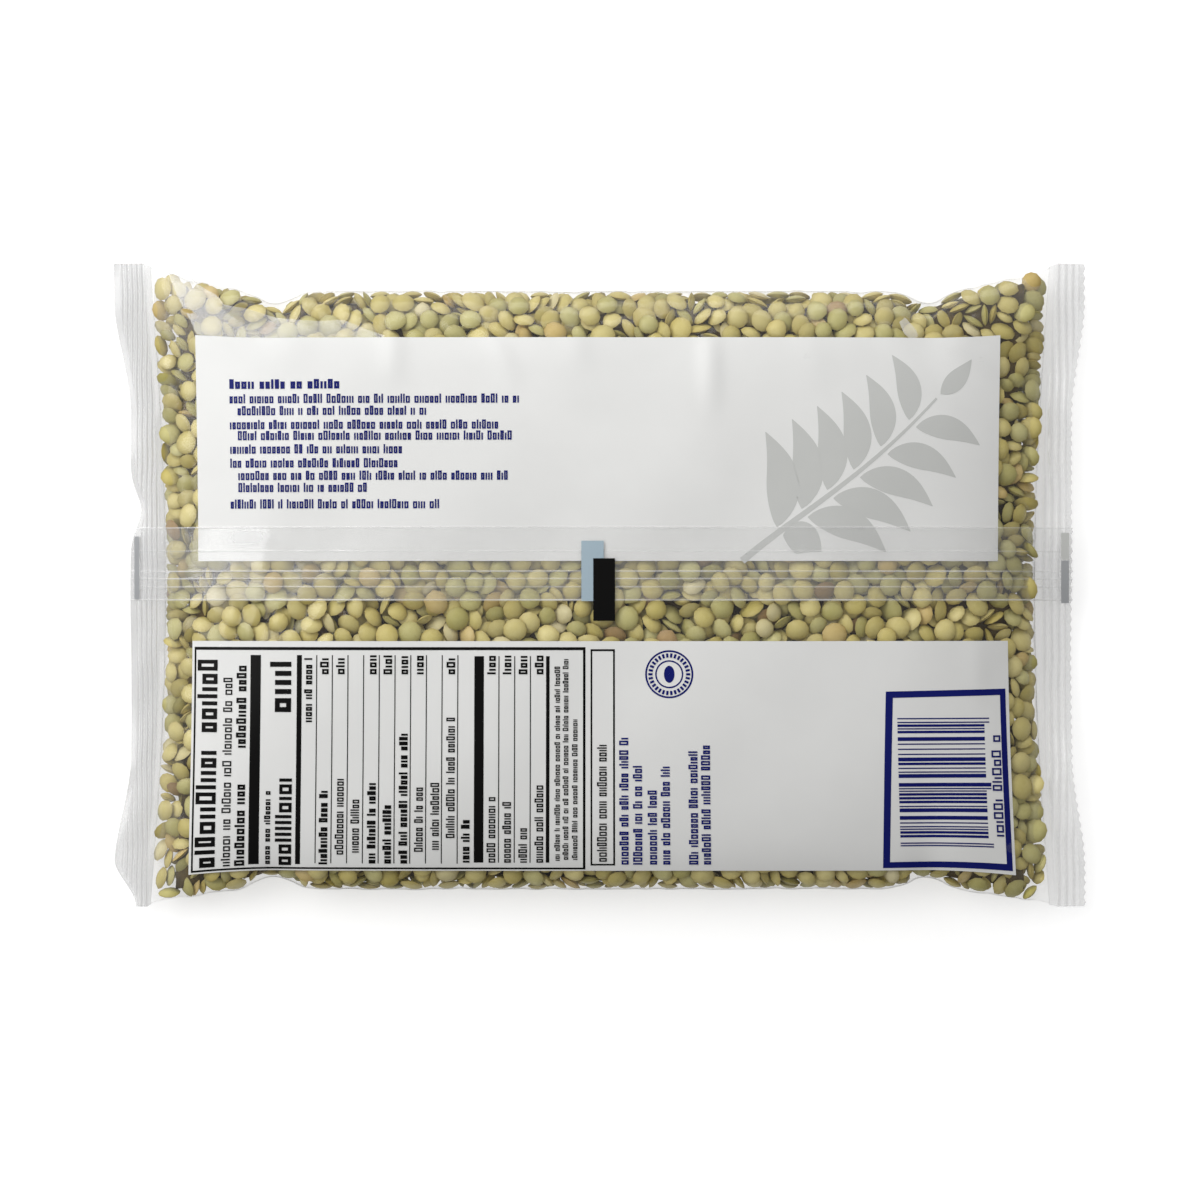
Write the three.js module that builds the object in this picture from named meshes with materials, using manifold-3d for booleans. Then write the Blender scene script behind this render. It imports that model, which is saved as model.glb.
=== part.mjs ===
// A clear pillow bag of green lentils, lying on its front with the back of the pack up.
// Millimetres, +Z up. X runs along the bag, from one end seal to the other, and Y runs across it.
// The origin is under the middle of the bag, on the surface that the bag rests on.
import * as THREE from "three";
import { MeshSurfaceSampler } from "three/addons/math/MeshSurfaceSampler.js";
import { mergeVertices } from "three/addons/utils/BufferGeometryUtils.js";
import Module from "manifold-3d";

// ---- Driving dimensions ----

// The pillow: a tube of film, filled until its middle is round.
const FAR_REACH = 90.0; // widest line to the middle, on the +Y side
const NEAR_REACH = 93.2; // the same on the -Y side, which slumps a little further
const CROWN_RISE = 17.6; // top of the bag above its widest line
const BELLY_DROP = 14.0; // how far the underside would hang, were there no table
const EQUATOR_Z = 11.0; // height of the widest line at the middle of the bag
const END_Z = 7.0; // height of the widest line where an end seal starts
const CROWN_POWER = 2.4; // 2 is an ellipse, more is boxier
const BELLY_POWER = 3.0;
const END_POWER = 3.5; // how late the bag thins towards an end seal

// The end seals: flat, crimped and wider than the filled bag.
const SEAL_HALF_WIDTH = 98.8;
const SEAL_THICKNESS = 0.8;
const ROOT_MIDDLE = 133.5; // where the contents end, halfway along a seal
const ROOT_CORNER = 138.0; // where they end at the bag's corners
const CUT_CORNER = 149.5; // the cut edges at the corners
const LEFT_CUT_MIDDLE = 144.2;
const RIGHT_CUT_MIDDLE = 145.3;
const FLARE_START = 52; // distance from the middle where a cut edge begins to flare out
const FLARE_END = 88;
const LEFT_CRIMPS = 6;
const RIGHT_CRIMPS = 4;
const CRIMP_DEPTH = 0.5;
const CRIMP_START = 0.18; // share of the seal's width before the first crimp
const CRIMP_END = 0.78;
const TOOTH_PITCH = 3.0; // the right end is cut by a toothed knife
const TOOTH_DEPTH = 0.7;
const TOOTH_ALLOWANCE = 0.6; // film beyond the teeth, which the knife takes off
const KNIFE_HEIGHT = 28.0;

// The left seal's buckle and its slanted corner.
const BUCKLE_Y = 23;
const BUCKLE_DEPTH = 3.2;
const BUCKLE_SPREAD = 7;
const SLANT_START = 84;
const SLANT_DEPTH = 7;

// A seal is limp: its free edge droops and waves.
const DROOP = 1.6;
const LEFT_WAVES = [
  { height: 1.5, length: 128, phase: 0.9 },
  { height: 0.8, length: 52, phase: 2.2 },
];
const RIGHT_WAVES = [
  { height: 1.3, length: 104, phase: -0.6 },
  { height: 0.9, length: 61, phase: 1.1 },
];

// The four shoulders, where the round tube is gathered into the flat seals.
const SHOULDER_X = 100;
const SHOULDER_PINCH = 3.2;
const SHOULDER_SPREAD = 7;
const SHOULDER_DENT = 1.6;
const FLARE_FULL_X = 140.5; // where the rim reaches the width of the flat seal
const FLARE_POWER = 1.8;
const RIM_POWER = 6; // keeps the gather at the rim and the middle of the film straight

// The back seam's flap, which lies flat from seal to seal.
const FLAP_LOW_Y = -4.9;
const FLAP_HIGH_Y = 17.7;
const FLAP_RISE = 0.5;
const FLAP_EDGE = 0.4; // run of the slope at each edge of the flap

// The two white printed panels, as skins that follow the film.
const PANEL_GAP = 0.35;
const PANEL_THICKNESS = 0.4;
const UPPER_PANEL = { left: -123.4, right: 122.6, low: FLAP_HIGH_Y + 1.0, high: 76.0 };
const LOWER_PANEL = { left: -125.8, right: 126.0, low: -87.6, high: -17.1 };

// Soft swells in the film over the contents.
const SWELLS = [
  { height: 0.35, lengthX: 97, lengthY: 140, phase: 0.4 },
  { height: 0.25, lengthX: 61, lengthY: -83, phase: 1.9 },
];

// Lentils that press through the clear stretches of film.
const LENTIL_DIAMETER = 6.6;
const LENTIL_THICKNESS = 2.8;
const LENTIL_SIDES = 7;
const LENTIL_SPACING = 7.0;
const LENTIL_SINK = 0.3; // depth of a lentil's middle below the film
const LENTIL_TILT = 0.16; // most that one leans, in radians
const LENTIL_TRIES = 5200;
const LENTIL_CLEARANCE = 3.9; // between a lentil's middle and a panel, the flap or a seal
const LENTIL_LOWEST_Z = 6.5;
const LENTIL_SEED = 23;

// How finely the film is divided.
const BODY_COLUMNS = 36;
const RIM_ROWS = 9;
const FLAP_ROW_MARGIN = 0.05; // least step between the flap's edge and the next row, across the film
const PANEL_COLUMNS = 26;
const PANEL_MARGIN = 0.02; // least step between a panel's edge and its next row, across the film

// ---- Small helpers ----

const smoothstep = (low, high, value) => THREE.MathUtils.smoothstep(value, low, high);
const bell = (offset, spread) => Math.exp(-((offset / spread) ** 2));
const waveSum = (waves, y) =>
  waves.reduce((sum, w) => sum + w.height * Math.sin((2 * Math.PI * y) / w.length + w.phase), 0);

function seededRandom(seed) {
  let state = seed;
  return () => {
    state = (Math.imul(state, 1664525) + 1013904223) >>> 0;
    return state / 2 ** 32;
  };
}

// ---- The film's form ----
// A place on the film has two numbers. "across" runs from -1 at the near side to 1 at the far side.
// "along" runs from -1 to 1 between the two lines where the end seals start.

const reach = (across) => (across < 0 ? NEAR_REACH : FAR_REACH);

// Half the bag's width at a distance x along it: full in the middle, pinched at the shoulders,
// and flared out to the width of the flat seal.
function halfWidth(x, across) {
  const past = Math.max(0, Math.abs(x) - SHOULDER_X) / (FLARE_FULL_X - SHOULDER_X);
  const flare = (SEAL_HALF_WIDTH - reach(across)) * Math.min(1, past) ** FLARE_POWER;
  return reach(across) + flare - SHOULDER_PINCH * bell(Math.abs(x) - SHOULDER_X, SHOULDER_SPREAD);
}

// The y of a place. The width's changes act near the rim, so print and flap stay straight.
function yAt(x, across) {
  const change = halfWidth(x, across) - reach(across);
  return across * reach(across) + Math.sign(across) * Math.abs(across) ** RIM_POWER * change;
}

// The inverse of yAt, by repeated substitution.
function acrossAt(x, y) {
  let across = y / reach(y);
  for (let step = 0; step < 30; step++) {
    const change = halfWidth(x, y) - reach(y);
    across = (y - Math.sign(y) * Math.abs(across) ** RIM_POWER * change) / reach(y);
  }
  return THREE.MathUtils.clamp(across, -1, 1);
}

// Where the contents end and a seal starts.
const rootX = (across) => ROOT_MIDDLE + (ROOT_CORNER - ROOT_MIDDLE) * across ** 2;

// A section across the bag, from 0 at the rim to 1 at the middle.
const fullness = (across, power) => Math.max(0, 1 - Math.abs(across) ** power) ** (1 / power);

// The same along the bag, from 0 at a seal to 1 at the middle.
const endFullness = (along) => Math.sqrt(Math.max(0, 1 - Math.abs(along) ** END_POWER));

const equatorZ = (along) => EQUATOR_Z + (END_Z - EQUATOR_Z) * along ** 4;

const swell = (x, y) =>
  SWELLS.reduce(
    (sum, s) => sum + s.height * Math.sin((2 * Math.PI * x) / s.lengthX + (2 * Math.PI * y) / s.lengthY + s.phase),
    0,
  );

// The dent that runs in from the rim at each shoulder.
const shoulderDent = (x, across) =>
  SHOULDER_DENT * bell(Math.abs(x) - SHOULDER_X, SHOULDER_SPREAD) * Math.abs(across) ** 3;

function topZ(x, along, across) {
  const full = endFullness(along) * fullness(across, CROWN_POWER);
  const relief = swell(x, yAt(x, across)) - shoulderDent(x, across);
  return equatorZ(along) + SEAL_THICKNESS / 2 + full * (CROWN_RISE + relief);
}

function bottomZ(along, across) {
  const full = endFullness(along) * fullness(across, BELLY_POWER);
  return Math.max(0, equatorZ(along) - SEAL_THICKNESS / 2 - full * BELLY_DROP);
}

// ---- The end seals ----

function leftCutX(y) {
  const flare = (CUT_CORNER - LEFT_CUT_MIDDLE) * smoothstep(FLARE_START, FLARE_END, Math.abs(y));
  const slant = SLANT_DEPTH * smoothstep(SLANT_START, SEAL_HALF_WIDTH, -y);
  return LEFT_CUT_MIDDLE + flare - BUCKLE_DEPTH * bell(y - BUCKLE_Y, BUCKLE_SPREAD) - slant;
}

const rightCutX = (y) =>
  RIGHT_CUT_MIDDLE + (CUT_CORNER - RIGHT_CUT_MIDDLE) * smoothstep(FLARE_START, FLARE_END, Math.abs(y));

// A seal's columns, as shares of its width, with the crimp's offset: grooves and crests in turn.
function crimpColumns(crimps) {
  const steps = 2 * crimps - 1;
  const columns = Array.from({ length: steps }, (_, i) => ({
    share: CRIMP_START + ((CRIMP_END - CRIMP_START) * i) / (steps - 1),
    lift: (i % 2 ? 0.5 : -0.5) * CRIMP_DEPTH,
  }));
  return [...columns, { share: 1, lift: 0 }];
}

// The film's height in a seal, at a share of its width.
const sealZ = (waves, share, y) => END_Z - DROOP * share + waveSum(waves, y) * share;

// ---- Closed sheets ----
// A sheet is a grid of places, each with an upper and a lower height, closed by walls all round.

function closedSheet(columns) {
  const rows = columns[0].length;
  const positions = columns.flat().flatMap((p) => [p.x, p.y, p.top, p.x, p.y, p.bottom]);
  const upper = (i, j) => 2 * (i * rows + j);
  const lower = (i, j) => upper(i, j) + 1;
  const index = [];
  const quad = (a, b, c, d) => index.push(a, b, c, a, c, d);
  const lastColumn = columns.length - 1;
  const lastRow = rows - 1;
  for (let i = 0; i < lastColumn; i++) {
    for (let j = 0; j < lastRow; j++) {
      quad(upper(i, j), upper(i + 1, j), upper(i + 1, j + 1), upper(i, j + 1));
      quad(lower(i, j), lower(i, j + 1), lower(i + 1, j + 1), lower(i + 1, j));
    }
    quad(lower(i, 0), lower(i + 1, 0), upper(i + 1, 0), upper(i, 0));
    quad(lower(i + 1, lastRow), lower(i, lastRow), upper(i, lastRow), upper(i + 1, lastRow));
  }
  for (let j = 0; j < lastRow; j++) {
    quad(lower(0, j + 1), lower(0, j), upper(0, j), upper(0, j + 1));
    quad(lower(lastColumn, j), lower(lastColumn, j + 1), upper(lastColumn, j + 1), upper(lastColumn, j));
  }
  return new THREE.BufferGeometry()
    .setAttribute("position", new THREE.Float32BufferAttribute(positions, 3))
    .setIndex(index);
}

// ---- Solids for joining and cutting ----

const wasm = await Module();
wasm.setup();

function solidOf(geometry) {
  const bare = geometry.clone();
  bare.deleteAttribute("normal");
  bare.deleteAttribute("uv");
  const merged = mergeVertices(bare);
  return new wasm.Manifold(
    new wasm.Mesh({
      numProp: 3,
      vertProperties: merged.attributes.position.array,
      triVerts: new Uint32Array(merged.index.array),
    }),
  );
}

function geometryOf(solid) {
  const mesh = solid.getMesh();
  return new THREE.BufferGeometry()
    .setAttribute("position", new THREE.BufferAttribute(mesh.vertProperties, 3))
    .setIndex(new THREE.BufferAttribute(mesh.triVerts, 1));
}

// ---- The bag ----

// Rows across the bag: close together at the rims, with a pair at each edge of the flap.
function acrossRows() {
  const rim = Array.from({ length: RIM_ROWS }, (_, k) => Math.cos((k * Math.PI) / 2 / RIM_ROWS));
  const flapRows = [
    (FLAP_LOW_Y - FLAP_EDGE) / NEAR_REACH,
    FLAP_LOW_Y / NEAR_REACH,
    (FLAP_LOW_Y + FLAP_HIGH_Y) / 2 / FAR_REACH,
    FLAP_HIGH_Y / FAR_REACH,
    (FLAP_HIGH_Y + FLAP_EDGE) / FAR_REACH,
  ];
  const farRows = rim.filter((across) => across > flapRows.at(-1) + FLAP_ROW_MARGIN).reverse();
  return [...rim.map((across) => -across), ...flapRows, ...farRows];
}

// The flap lies on the film between its two edges, where its slopes begin.
function flapRise(across) {
  const y = across * reach(across);
  const slope = FLAP_EDGE / 2;
  return y > FLAP_LOW_Y - slope && y < FLAP_HIGH_Y + slope ? FLAP_RISE : 0;
}

// One column of the filled part, from rim to rim.
function bodyColumn(along, rows) {
  return rows.map((across) => {
    const x = along * rootX(across);
    return {
      x,
      y: yAt(x, across),
      top: topZ(x, along, across) + flapRise(across),
      bottom: bottomZ(along, across),
    };
  });
}

// One column of a seal, at a share of the way from the contents to the cut edge.
function sealColumn(side, share, lift, rows) {
  const cutX = side < 0 ? leftCutX : (y) => rightCutX(y) + TOOTH_ALLOWANCE;
  const waves = side < 0 ? LEFT_WAVES : RIGHT_WAVES;
  return rows.map((across) => {
    const root = rootX(across);
    const y = yAt(root * (1 - share) + CUT_CORNER * share, across);
    const middle = sealZ(waves, share, y) + lift;
    return {
      x: side * THREE.MathUtils.lerp(root, cutX(y), share),
      y,
      top: middle + SEAL_THICKNESS / 2 + flapRise(across),
      bottom: middle - SEAL_THICKNESS / 2,
    };
  });
}

function filmEnvelope() {
  const rows = acrossRows();
  const left = crimpColumns(LEFT_CRIMPS).map((c) => sealColumn(-1, c.share, c.lift, rows));
  const right = crimpColumns(RIGHT_CRIMPS).map((c) => sealColumn(1, c.share, c.lift, rows));
  const body = Array.from({ length: BODY_COLUMNS + 1 }, (_, i) =>
    bodyColumn(Math.sin((i / BODY_COLUMNS - 0.5) * Math.PI), rows),
  );
  return closedSheet([...left.reverse(), ...body, ...right]);
}

// The knife: all that lies beyond a zigzag line along the right cut edge.
function toothedKnife() {
  const outline = new THREE.Shape();
  const teeth = Math.ceil((2 * SEAL_HALF_WIDTH) / TOOTH_PITCH) + 2;
  const steps = 2 * teeth;
  for (let i = 0; i <= steps; i++) {
    const y = (i - steps / 2) * (TOOTH_PITCH / 2);
    const x = rightCutX(y) - (i % 2 ? TOOTH_DEPTH : 0);
    if (i) outline.lineTo(x, y);
    else outline.moveTo(x, y);
  }
  outline.lineTo(CUT_CORNER + TOOTH_PITCH, (steps / 4) * TOOTH_PITCH);
  outline.lineTo(CUT_CORNER + TOOTH_PITCH, (-steps / 4) * TOOTH_PITCH);
  const knife = new THREE.ExtrudeGeometry(outline, { depth: KNIFE_HEIGHT, bevelEnabled: false });
  return knife.translate(0, 0, END_Z - KNIFE_HEIGHT / 2);
}

// Whether a lentil may show at a point of the film: clear of the print, the flap and the seals.
function inWindow(point) {
  const { x, y, z } = point;
  const across = acrossAt(x, y);
  const inSpan = (panel) => x > panel.left - LENTIL_CLEARANCE && x < panel.right + LENTIL_CLEARANCE;
  const underUpper = inSpan(UPPER_PANEL) && y > UPPER_PANEL.low && y < UPPER_PANEL.high + LENTIL_CLEARANCE;
  const underLower =
    inSpan(LOWER_PANEL) && y < LOWER_PANEL.high + LENTIL_CLEARANCE && y > LOWER_PANEL.low - LENTIL_CLEARANCE / 2;
  const underFlap = y > FLAP_LOW_Y - LENTIL_CLEARANCE && y < FLAP_HIGH_Y + LENTIL_CLEARANCE;
  const nearSeal = Math.abs(x) > rootX(across) - LENTIL_CLEARANCE;
  return z > LENTIL_LOWEST_Z && !underUpper && !underLower && !underFlap && !nearSeal;
}

// Lentils on the film's clear stretches, spread by rejecting any that come too close to another.
function windowLentils(envelope) {
  const random = seededRandom(LENTIL_SEED);
  const sampler = new MeshSurfaceSampler(new THREE.Mesh(envelope)).setRandomGenerator(random).build();
  const lens = new THREE.SphereGeometry(0.5, LENTIL_SIDES, 2);
  lens.scale(LENTIL_DIAMETER, LENTIL_THICKNESS, LENTIL_DIAMETER);
  const up = new THREE.Vector3(0, 1, 0);
  const places = [];
  const lentils = [];
  for (let attempt = 0; attempt < LENTIL_TRIES; attempt++) {
    const point = new THREE.Vector3();
    const normal = new THREE.Vector3();
    sampler.sample(point, normal);
    const turn = 2 * Math.PI * random();
    const lean = new THREE.Vector3(random() - 0.5, random() - 0.5, random() - 0.5);
    if (!inWindow(point) || places.some((p) => p.distanceTo(point) < LENTIL_SPACING)) continue;
    places.push(point);
    const facing = normal.clone().addScaledVector(lean, 2 * LENTIL_TILT).normalize();
    const pose = new THREE.Quaternion()
      .setFromUnitVectors(up, facing)
      .multiply(new THREE.Quaternion().setFromAxisAngle(up, turn));
    const middle = point.clone().addScaledVector(normal, -LENTIL_SINK);
    const matrix = new THREE.Matrix4().compose(middle, pose, new THREE.Vector3(1, 1, 1));
    lentils.push(solidOf(lens.clone().applyMatrix4(matrix)));
  }
  return lentils;
}

function filledBagGeometry() {
  const envelope = filmEnvelope();
  envelope.computeVertexNormals();
  const trimmed = solidOf(envelope).subtract(solidOf(toothedKnife()));
  return geometryOf(wasm.Manifold.union([trimmed, ...windowLentils(envelope)]));
}

// ---- The printed panels ----

// A panel's columns close up towards the seals, and its rows towards the rim, as the bag's own do.
function panelGeometry(panel) {
  const angleAt = (x) => Math.asin(x / ROOT_MIDDLE);
  const lowEdge = panel.low / reach(panel.low);
  const highEdge = panel.high / reach(panel.high);
  const inner = acrossRows().filter((a) => a > lowEdge + PANEL_MARGIN && a < highEdge - PANEL_MARGIN);
  const rows = [lowEdge, ...inner, highEdge];
  const columns = Array.from({ length: PANEL_COLUMNS + 1 }, (_, i) => {
    const angle = THREE.MathUtils.lerp(angleAt(panel.left), angleAt(panel.right), i / PANEL_COLUMNS);
    const x = ROOT_MIDDLE * Math.sin(angle);
    return rows.map((across) => {
      const film = topZ(x, x / rootX(across), across) + PANEL_GAP;
      return { x, y: yAt(x, across), top: film + PANEL_THICKNESS, bottom: film };
    });
  });
  return closedSheet(columns);
}

// ---- The scene graph ----

const lentilFilm = new THREE.MeshStandardMaterial({ color: 0x9c9a66, roughness: 0.35, metalness: 0 });
const whitePrint = new THREE.MeshStandardMaterial({ color: 0xf1f1ee, roughness: 0.45, metalness: 0 });

function namedMesh(name, geometry, material) {
  const mesh = new THREE.Mesh(geometry, material);
  mesh.name = name;
  return mesh;
}

const bag = new THREE.Group();
bag.add(
  namedMesh("filled_bag", filledBagGeometry(), lentilFilm),
  namedMesh("upper_panel", panelGeometry(UPPER_PANEL), whitePrint),
  namedMesh("lower_panel", panelGeometry(LOWER_PANEL), whitePrint.clone()),
);

export default bag;
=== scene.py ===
# %% [markdown]
# # A clear bag of green lentils
#
# The real thing is a tube of thin clear film, filled with dry lentils and sealed flat at both ends. It lies
# on its front, so the back shows: a flat back seam, and two white printed fields with lentils all round them.
# Every surface is worked out with numpy from a few sizes, so the bag can be looked at from any side. The
# first step loads the solid model, which fixes the size and the place of it all.

# %% Load the solid model
import math

import bpy
import numpy as np
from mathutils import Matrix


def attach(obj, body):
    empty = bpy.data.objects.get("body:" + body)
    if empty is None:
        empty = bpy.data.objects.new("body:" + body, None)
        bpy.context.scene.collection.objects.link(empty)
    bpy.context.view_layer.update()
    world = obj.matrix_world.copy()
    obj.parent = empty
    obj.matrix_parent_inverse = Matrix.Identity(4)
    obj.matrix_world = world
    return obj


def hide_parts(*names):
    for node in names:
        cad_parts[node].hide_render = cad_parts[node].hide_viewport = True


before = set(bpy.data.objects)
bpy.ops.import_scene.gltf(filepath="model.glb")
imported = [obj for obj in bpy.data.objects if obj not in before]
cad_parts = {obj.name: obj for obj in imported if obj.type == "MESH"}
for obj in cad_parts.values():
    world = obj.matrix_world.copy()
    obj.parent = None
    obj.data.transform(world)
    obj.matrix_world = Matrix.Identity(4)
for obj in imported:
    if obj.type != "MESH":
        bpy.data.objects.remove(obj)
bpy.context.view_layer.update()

# %% [markdown]
# ## Sizes
#
# The sizes are those of the solid model, in millimetres, which is the unit that a maker of bags would use.
# Blender works in metres, so lengths are multiplied by MM only when a mesh is made.

# %% Sizes of the bag
MM = 0.001
FAR_REACH, NEAR_REACH = 90.0, 93.2  # middle of the bag to its widest line, on the two long sides
CROWN_RISE, BELLY_DROP = 17.6, 14.0  # above and below the widest line
EQUATOR_Z, END_Z = 11.0, 7.0  # height of the widest line, at the middle and at a seal
SEAL_HALF_WIDTH, SEAL_THICKNESS = 98.8, 0.8
ROOT_MIDDLE, ROOT_CORNER = 133.5, 138.0  # where the contents end and a seal starts
print("filled length", 2 * ROOT_MIDDLE, "and width", FAR_REACH + NEAR_REACH, "mm")

# %% [markdown]
# ## The form of the film
#
# A filled bag is a tube that is round in the middle and flat at its ends. Two numbers name a place on it:
# "along" runs from -1 to 1 between the two seals, and "across" from -1 to 1 between the two long edges. The
# section is a superellipse, which is an ellipse with a power other than 2: fuller than an oval, as a bag of
# loose lentils is. A sculpted mesh would look as good from above, but with a formula the film, the lentils
# and the print can all ask for the same surface.


# %% Curves that the form is made of
CROWN_POWER, BELLY_POWER, END_POWER = 2.4, 3.0, 3.5


def smoothstep(low, high, value):
    """0 below low, 1 above high, and between them 3t^2 - 2t^3."""
    t = np.clip((value - low) / (high - low), 0, 1)
    return t * t * (3 - 2 * t)


def bell(offset, spread):
    """1 at offset 0, falling off as exp(-(offset / spread)^2)."""
    return np.exp(-((offset / spread) ** 2))


def wave_sum(waves, y):
    """The sum of sine waves, each given by its height, length and phase."""
    return sum(height * np.sin(2 * np.pi * y / length + phase) for height, length, phase in waves)


def fullness(across, power):
    """The superellipse (1 - |across|^power)^(1 / power): 1 in the middle, 0 at the rim."""
    return np.maximum(0, 1 - np.abs(across) ** power) ** (1 / power)


def end_fullness(along):
    """1 in the middle of the bag, dropping to 0 with a blunt round end at each seal."""
    return np.sqrt(np.maximum(0, 1 - np.abs(along) ** END_POWER))


# %% Where a place on the film is
SHOULDER_X, SHOULDER_PINCH, SHOULDER_SPREAD = 100.0, 3.2, 7.0
FLARED_X = 140.5  # from here out the bag is as wide as its seals
FLARE_POWER, RIM_POWER = 1.8, 6


def reach(across):
    """The bag's half width at its middle, on the near side below 0 and on the far side above."""
    return np.where(across < 0, NEAR_REACH, FAR_REACH)


def flare(x, across):
    """How much wider the bag gets past its shoulders: a power of the distance past them."""
    past = np.maximum(0, np.abs(x) - SHOULDER_X) / (FLARED_X - SHOULDER_X)
    return (SEAL_HALF_WIDTH - reach(across)) * np.minimum(1, past) ** FLARE_POWER


def half_width(x, across):
    """The reach and the flare, pinched by a bell at each shoulder."""
    return reach(across) + flare(x, across) - SHOULDER_PINCH * bell(np.abs(x) - SHOULDER_X, SHOULDER_SPREAD)


def y_at(x, across):
    """across times the reach, and near the rim the change in width, weighted by |across|^6."""
    change = half_width(x, across) - reach(across)
    return across * reach(across) + np.sign(across) * np.abs(across) ** RIM_POWER * change


ROUNDS = 30


def across_at(x, y):
    """The inverse of y_at, found by putting each answer back into the formula."""
    across = y / reach(y)
    change = half_width(x, y) - reach(y)
    for _ in range(ROUNDS):
        across = (y - np.sign(y) * np.abs(across) ** RIM_POWER * change) / reach(y)
    return np.clip(across, -1, 1)


def root_x(across):
    """Where the contents end: further out at the bag's corners, by a parabola."""
    return ROOT_MIDDLE + (ROOT_CORNER - ROOT_MIDDLE) * across**2


# %% How high the film is
SHOULDER_DENT = 1.6
SWELLS = ((0.35, 97.0, 140.0, 0.4), (0.25, 61.0, -83.0, 1.9))  # height, length in x and in y, phase


def equator_z(along):
    """The widest line sinks from the middle to the seals with the fourth power of along."""
    return EQUATOR_Z + (END_Z - EQUATOR_Z) * along**4


def relief(x, across):
    """Long soft swells, less a dent that runs in from the rim at each shoulder."""
    y = y_at(x, across)
    swell = sum(
        height * np.sin(2 * np.pi * (x / length_x + y / length_y) + phase)
        for height, length_x, length_y, phase in SWELLS
    )
    return swell - SHOULDER_DENT * bell(np.abs(x) - SHOULDER_X, SHOULDER_SPREAD) * np.abs(across) ** 3


def top_z(x, along, across):
    """The crown: both fullnesses times its rise and relief, over the widest line."""
    full = end_fullness(along) * fullness(across, CROWN_POWER)
    return equator_z(along) + SEAL_THICKNESS / 2 + full * (CROWN_RISE + relief(x, across))


def bottom_z(along, across):
    """The belly, cut off flat by the table at height 0."""
    full = end_fullness(along) * fullness(across, BELLY_POWER)
    return np.maximum(0, equator_z(along) - SEAL_THICKNESS / 2 - full * BELLY_DROP)


def film_points(along, angle):
    """The tube of film. The angle goes round it from 0 at the near rim over the top and back underneath."""
    across = -np.cos(angle)
    x = along * root_x(across)
    z = np.where(angle <= np.pi, top_z(x, along, across), bottom_z(along, across))
    return np.stack([x, y_at(x, across), z], axis=-1)


# %% The cut edges of the two seals
CUT_CORNER, LEFT_CUT_MIDDLE, RIGHT_CUT_MIDDLE = 149.5, 144.2, 145.3
CORNER_START, CORNER_END = 52.0, 88.0  # between these, a cut edge runs out to its corner
BUCKLE_Y, BUCKLE_DEPTH, BUCKLE_SPREAD = 23.0, 3.2, 7.0
SLANT_START, SLANT_DEPTH = 84.0, 7.0


def left_cut(y):
    """Further out at the corners by a smooth step, with a bell for the buckle and a slant at one corner."""
    outward = (CUT_CORNER - LEFT_CUT_MIDDLE) * smoothstep(CORNER_START, CORNER_END, np.abs(y))
    slant = SLANT_DEPTH * smoothstep(SLANT_START, SEAL_HALF_WIDTH, -y)
    return LEFT_CUT_MIDDLE + outward - BUCKLE_DEPTH * bell(y - BUCKLE_Y, BUCKLE_SPREAD) - slant


def right_cut(y):
    """Further out at the corners by a smooth step."""
    outward = (CUT_CORNER - RIGHT_CUT_MIDDLE) * smoothstep(CORNER_START, CORNER_END, np.abs(y))
    return RIGHT_CUT_MIDDLE + outward


# %% The seals' waves, and the height over any point
DROOP = 1.6
LEFT_WAVES = ((1.5, 128.0, 0.9), (0.8, 52.0, 2.2))  # height, length and phase of each wave
RIGHT_WAVES = ((1.3, 104.0, -0.6), (0.9, 61.0, 1.1))


def seal_z(side, share, y):
    """A seal droops towards its cut edge, and its waves grow towards it too."""
    waves = np.where(side < 0, wave_sum(LEFT_WAVES, y), wave_sum(RIGHT_WAVES, y))
    return END_Z - DROOP * share + waves * share


def height_over(x, y):
    """The film's height over a point of the table, on the bag or on a seal."""
    across = across_at(x, y)
    root = root_x(across)
    cut = np.where(x < 0, left_cut(y), right_cut(y))
    share = np.clip((np.abs(x) - root) / (cut - root), 0, 1)
    seal = seal_z(np.sign(x), share, y) + SEAL_THICKNESS / 2
    return np.where(np.abs(x) > root, seal, top_z(x, np.clip(x / root, -1, 1), across))


print("crown height, mm:", round(float(height_over(0.0, 0.0)), 2))

# %% [markdown]
# ## From arrays to meshes
#
# A grid of points becomes a mesh by joining each point to its neighbours. from_pydata would do, but
# foreach_set takes whole arrays and stays quick with hundreds of thousands of faces. Every piece goes through
# the same helper, which also says what the piece is for: it moves with the bag, wears one finish and stands
# for a node.


# %% Helpers that make a piece
SHARP_ANGLE = math.radians(50)  # faces that meet at more than this keep a crisp edge between them


def add_mesh(name, points, faces):
    """A mesh object from points in millimetres and faces as rows of 3 or 4 point numbers."""
    sides = faces.shape[1]
    mesh = bpy.data.meshes.new(name)
    mesh.vertices.add(len(points))
    mesh.vertices.foreach_set("co", (np.asarray(points) * MM).astype(np.float32).ravel())
    mesh.loops.add(faces.size)
    mesh.loops.foreach_set("vertex_index", faces.astype(np.int32).ravel())
    mesh.polygons.add(len(faces))
    mesh.polygons.foreach_set("loop_start", np.arange(0, faces.size, sides, dtype=np.int32))
    mesh.polygons.foreach_set("use_smooth", np.full(len(faces), True))
    mesh.update(calc_edges=True)
    mesh.validate()
    mesh.set_sharp_from_angle(angle=SHARP_ANGLE)
    made = bpy.data.objects.new(name, mesh)
    bpy.context.scene.collection.objects.link(made)
    return made


def add_piece(name, points, faces, material, slot, node=None):
    """A mesh that rides on the bag, with its finish, and the solid's node that it stands for. The slot is not
    used.
    """
    piece = add_mesh(name, points, faces)
    piece.data.materials.append(material)
    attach(piece, "root")
    if node:
        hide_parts(node)
    print(name, len(points), "points,", len(faces), "faces")
    return piece


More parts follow.
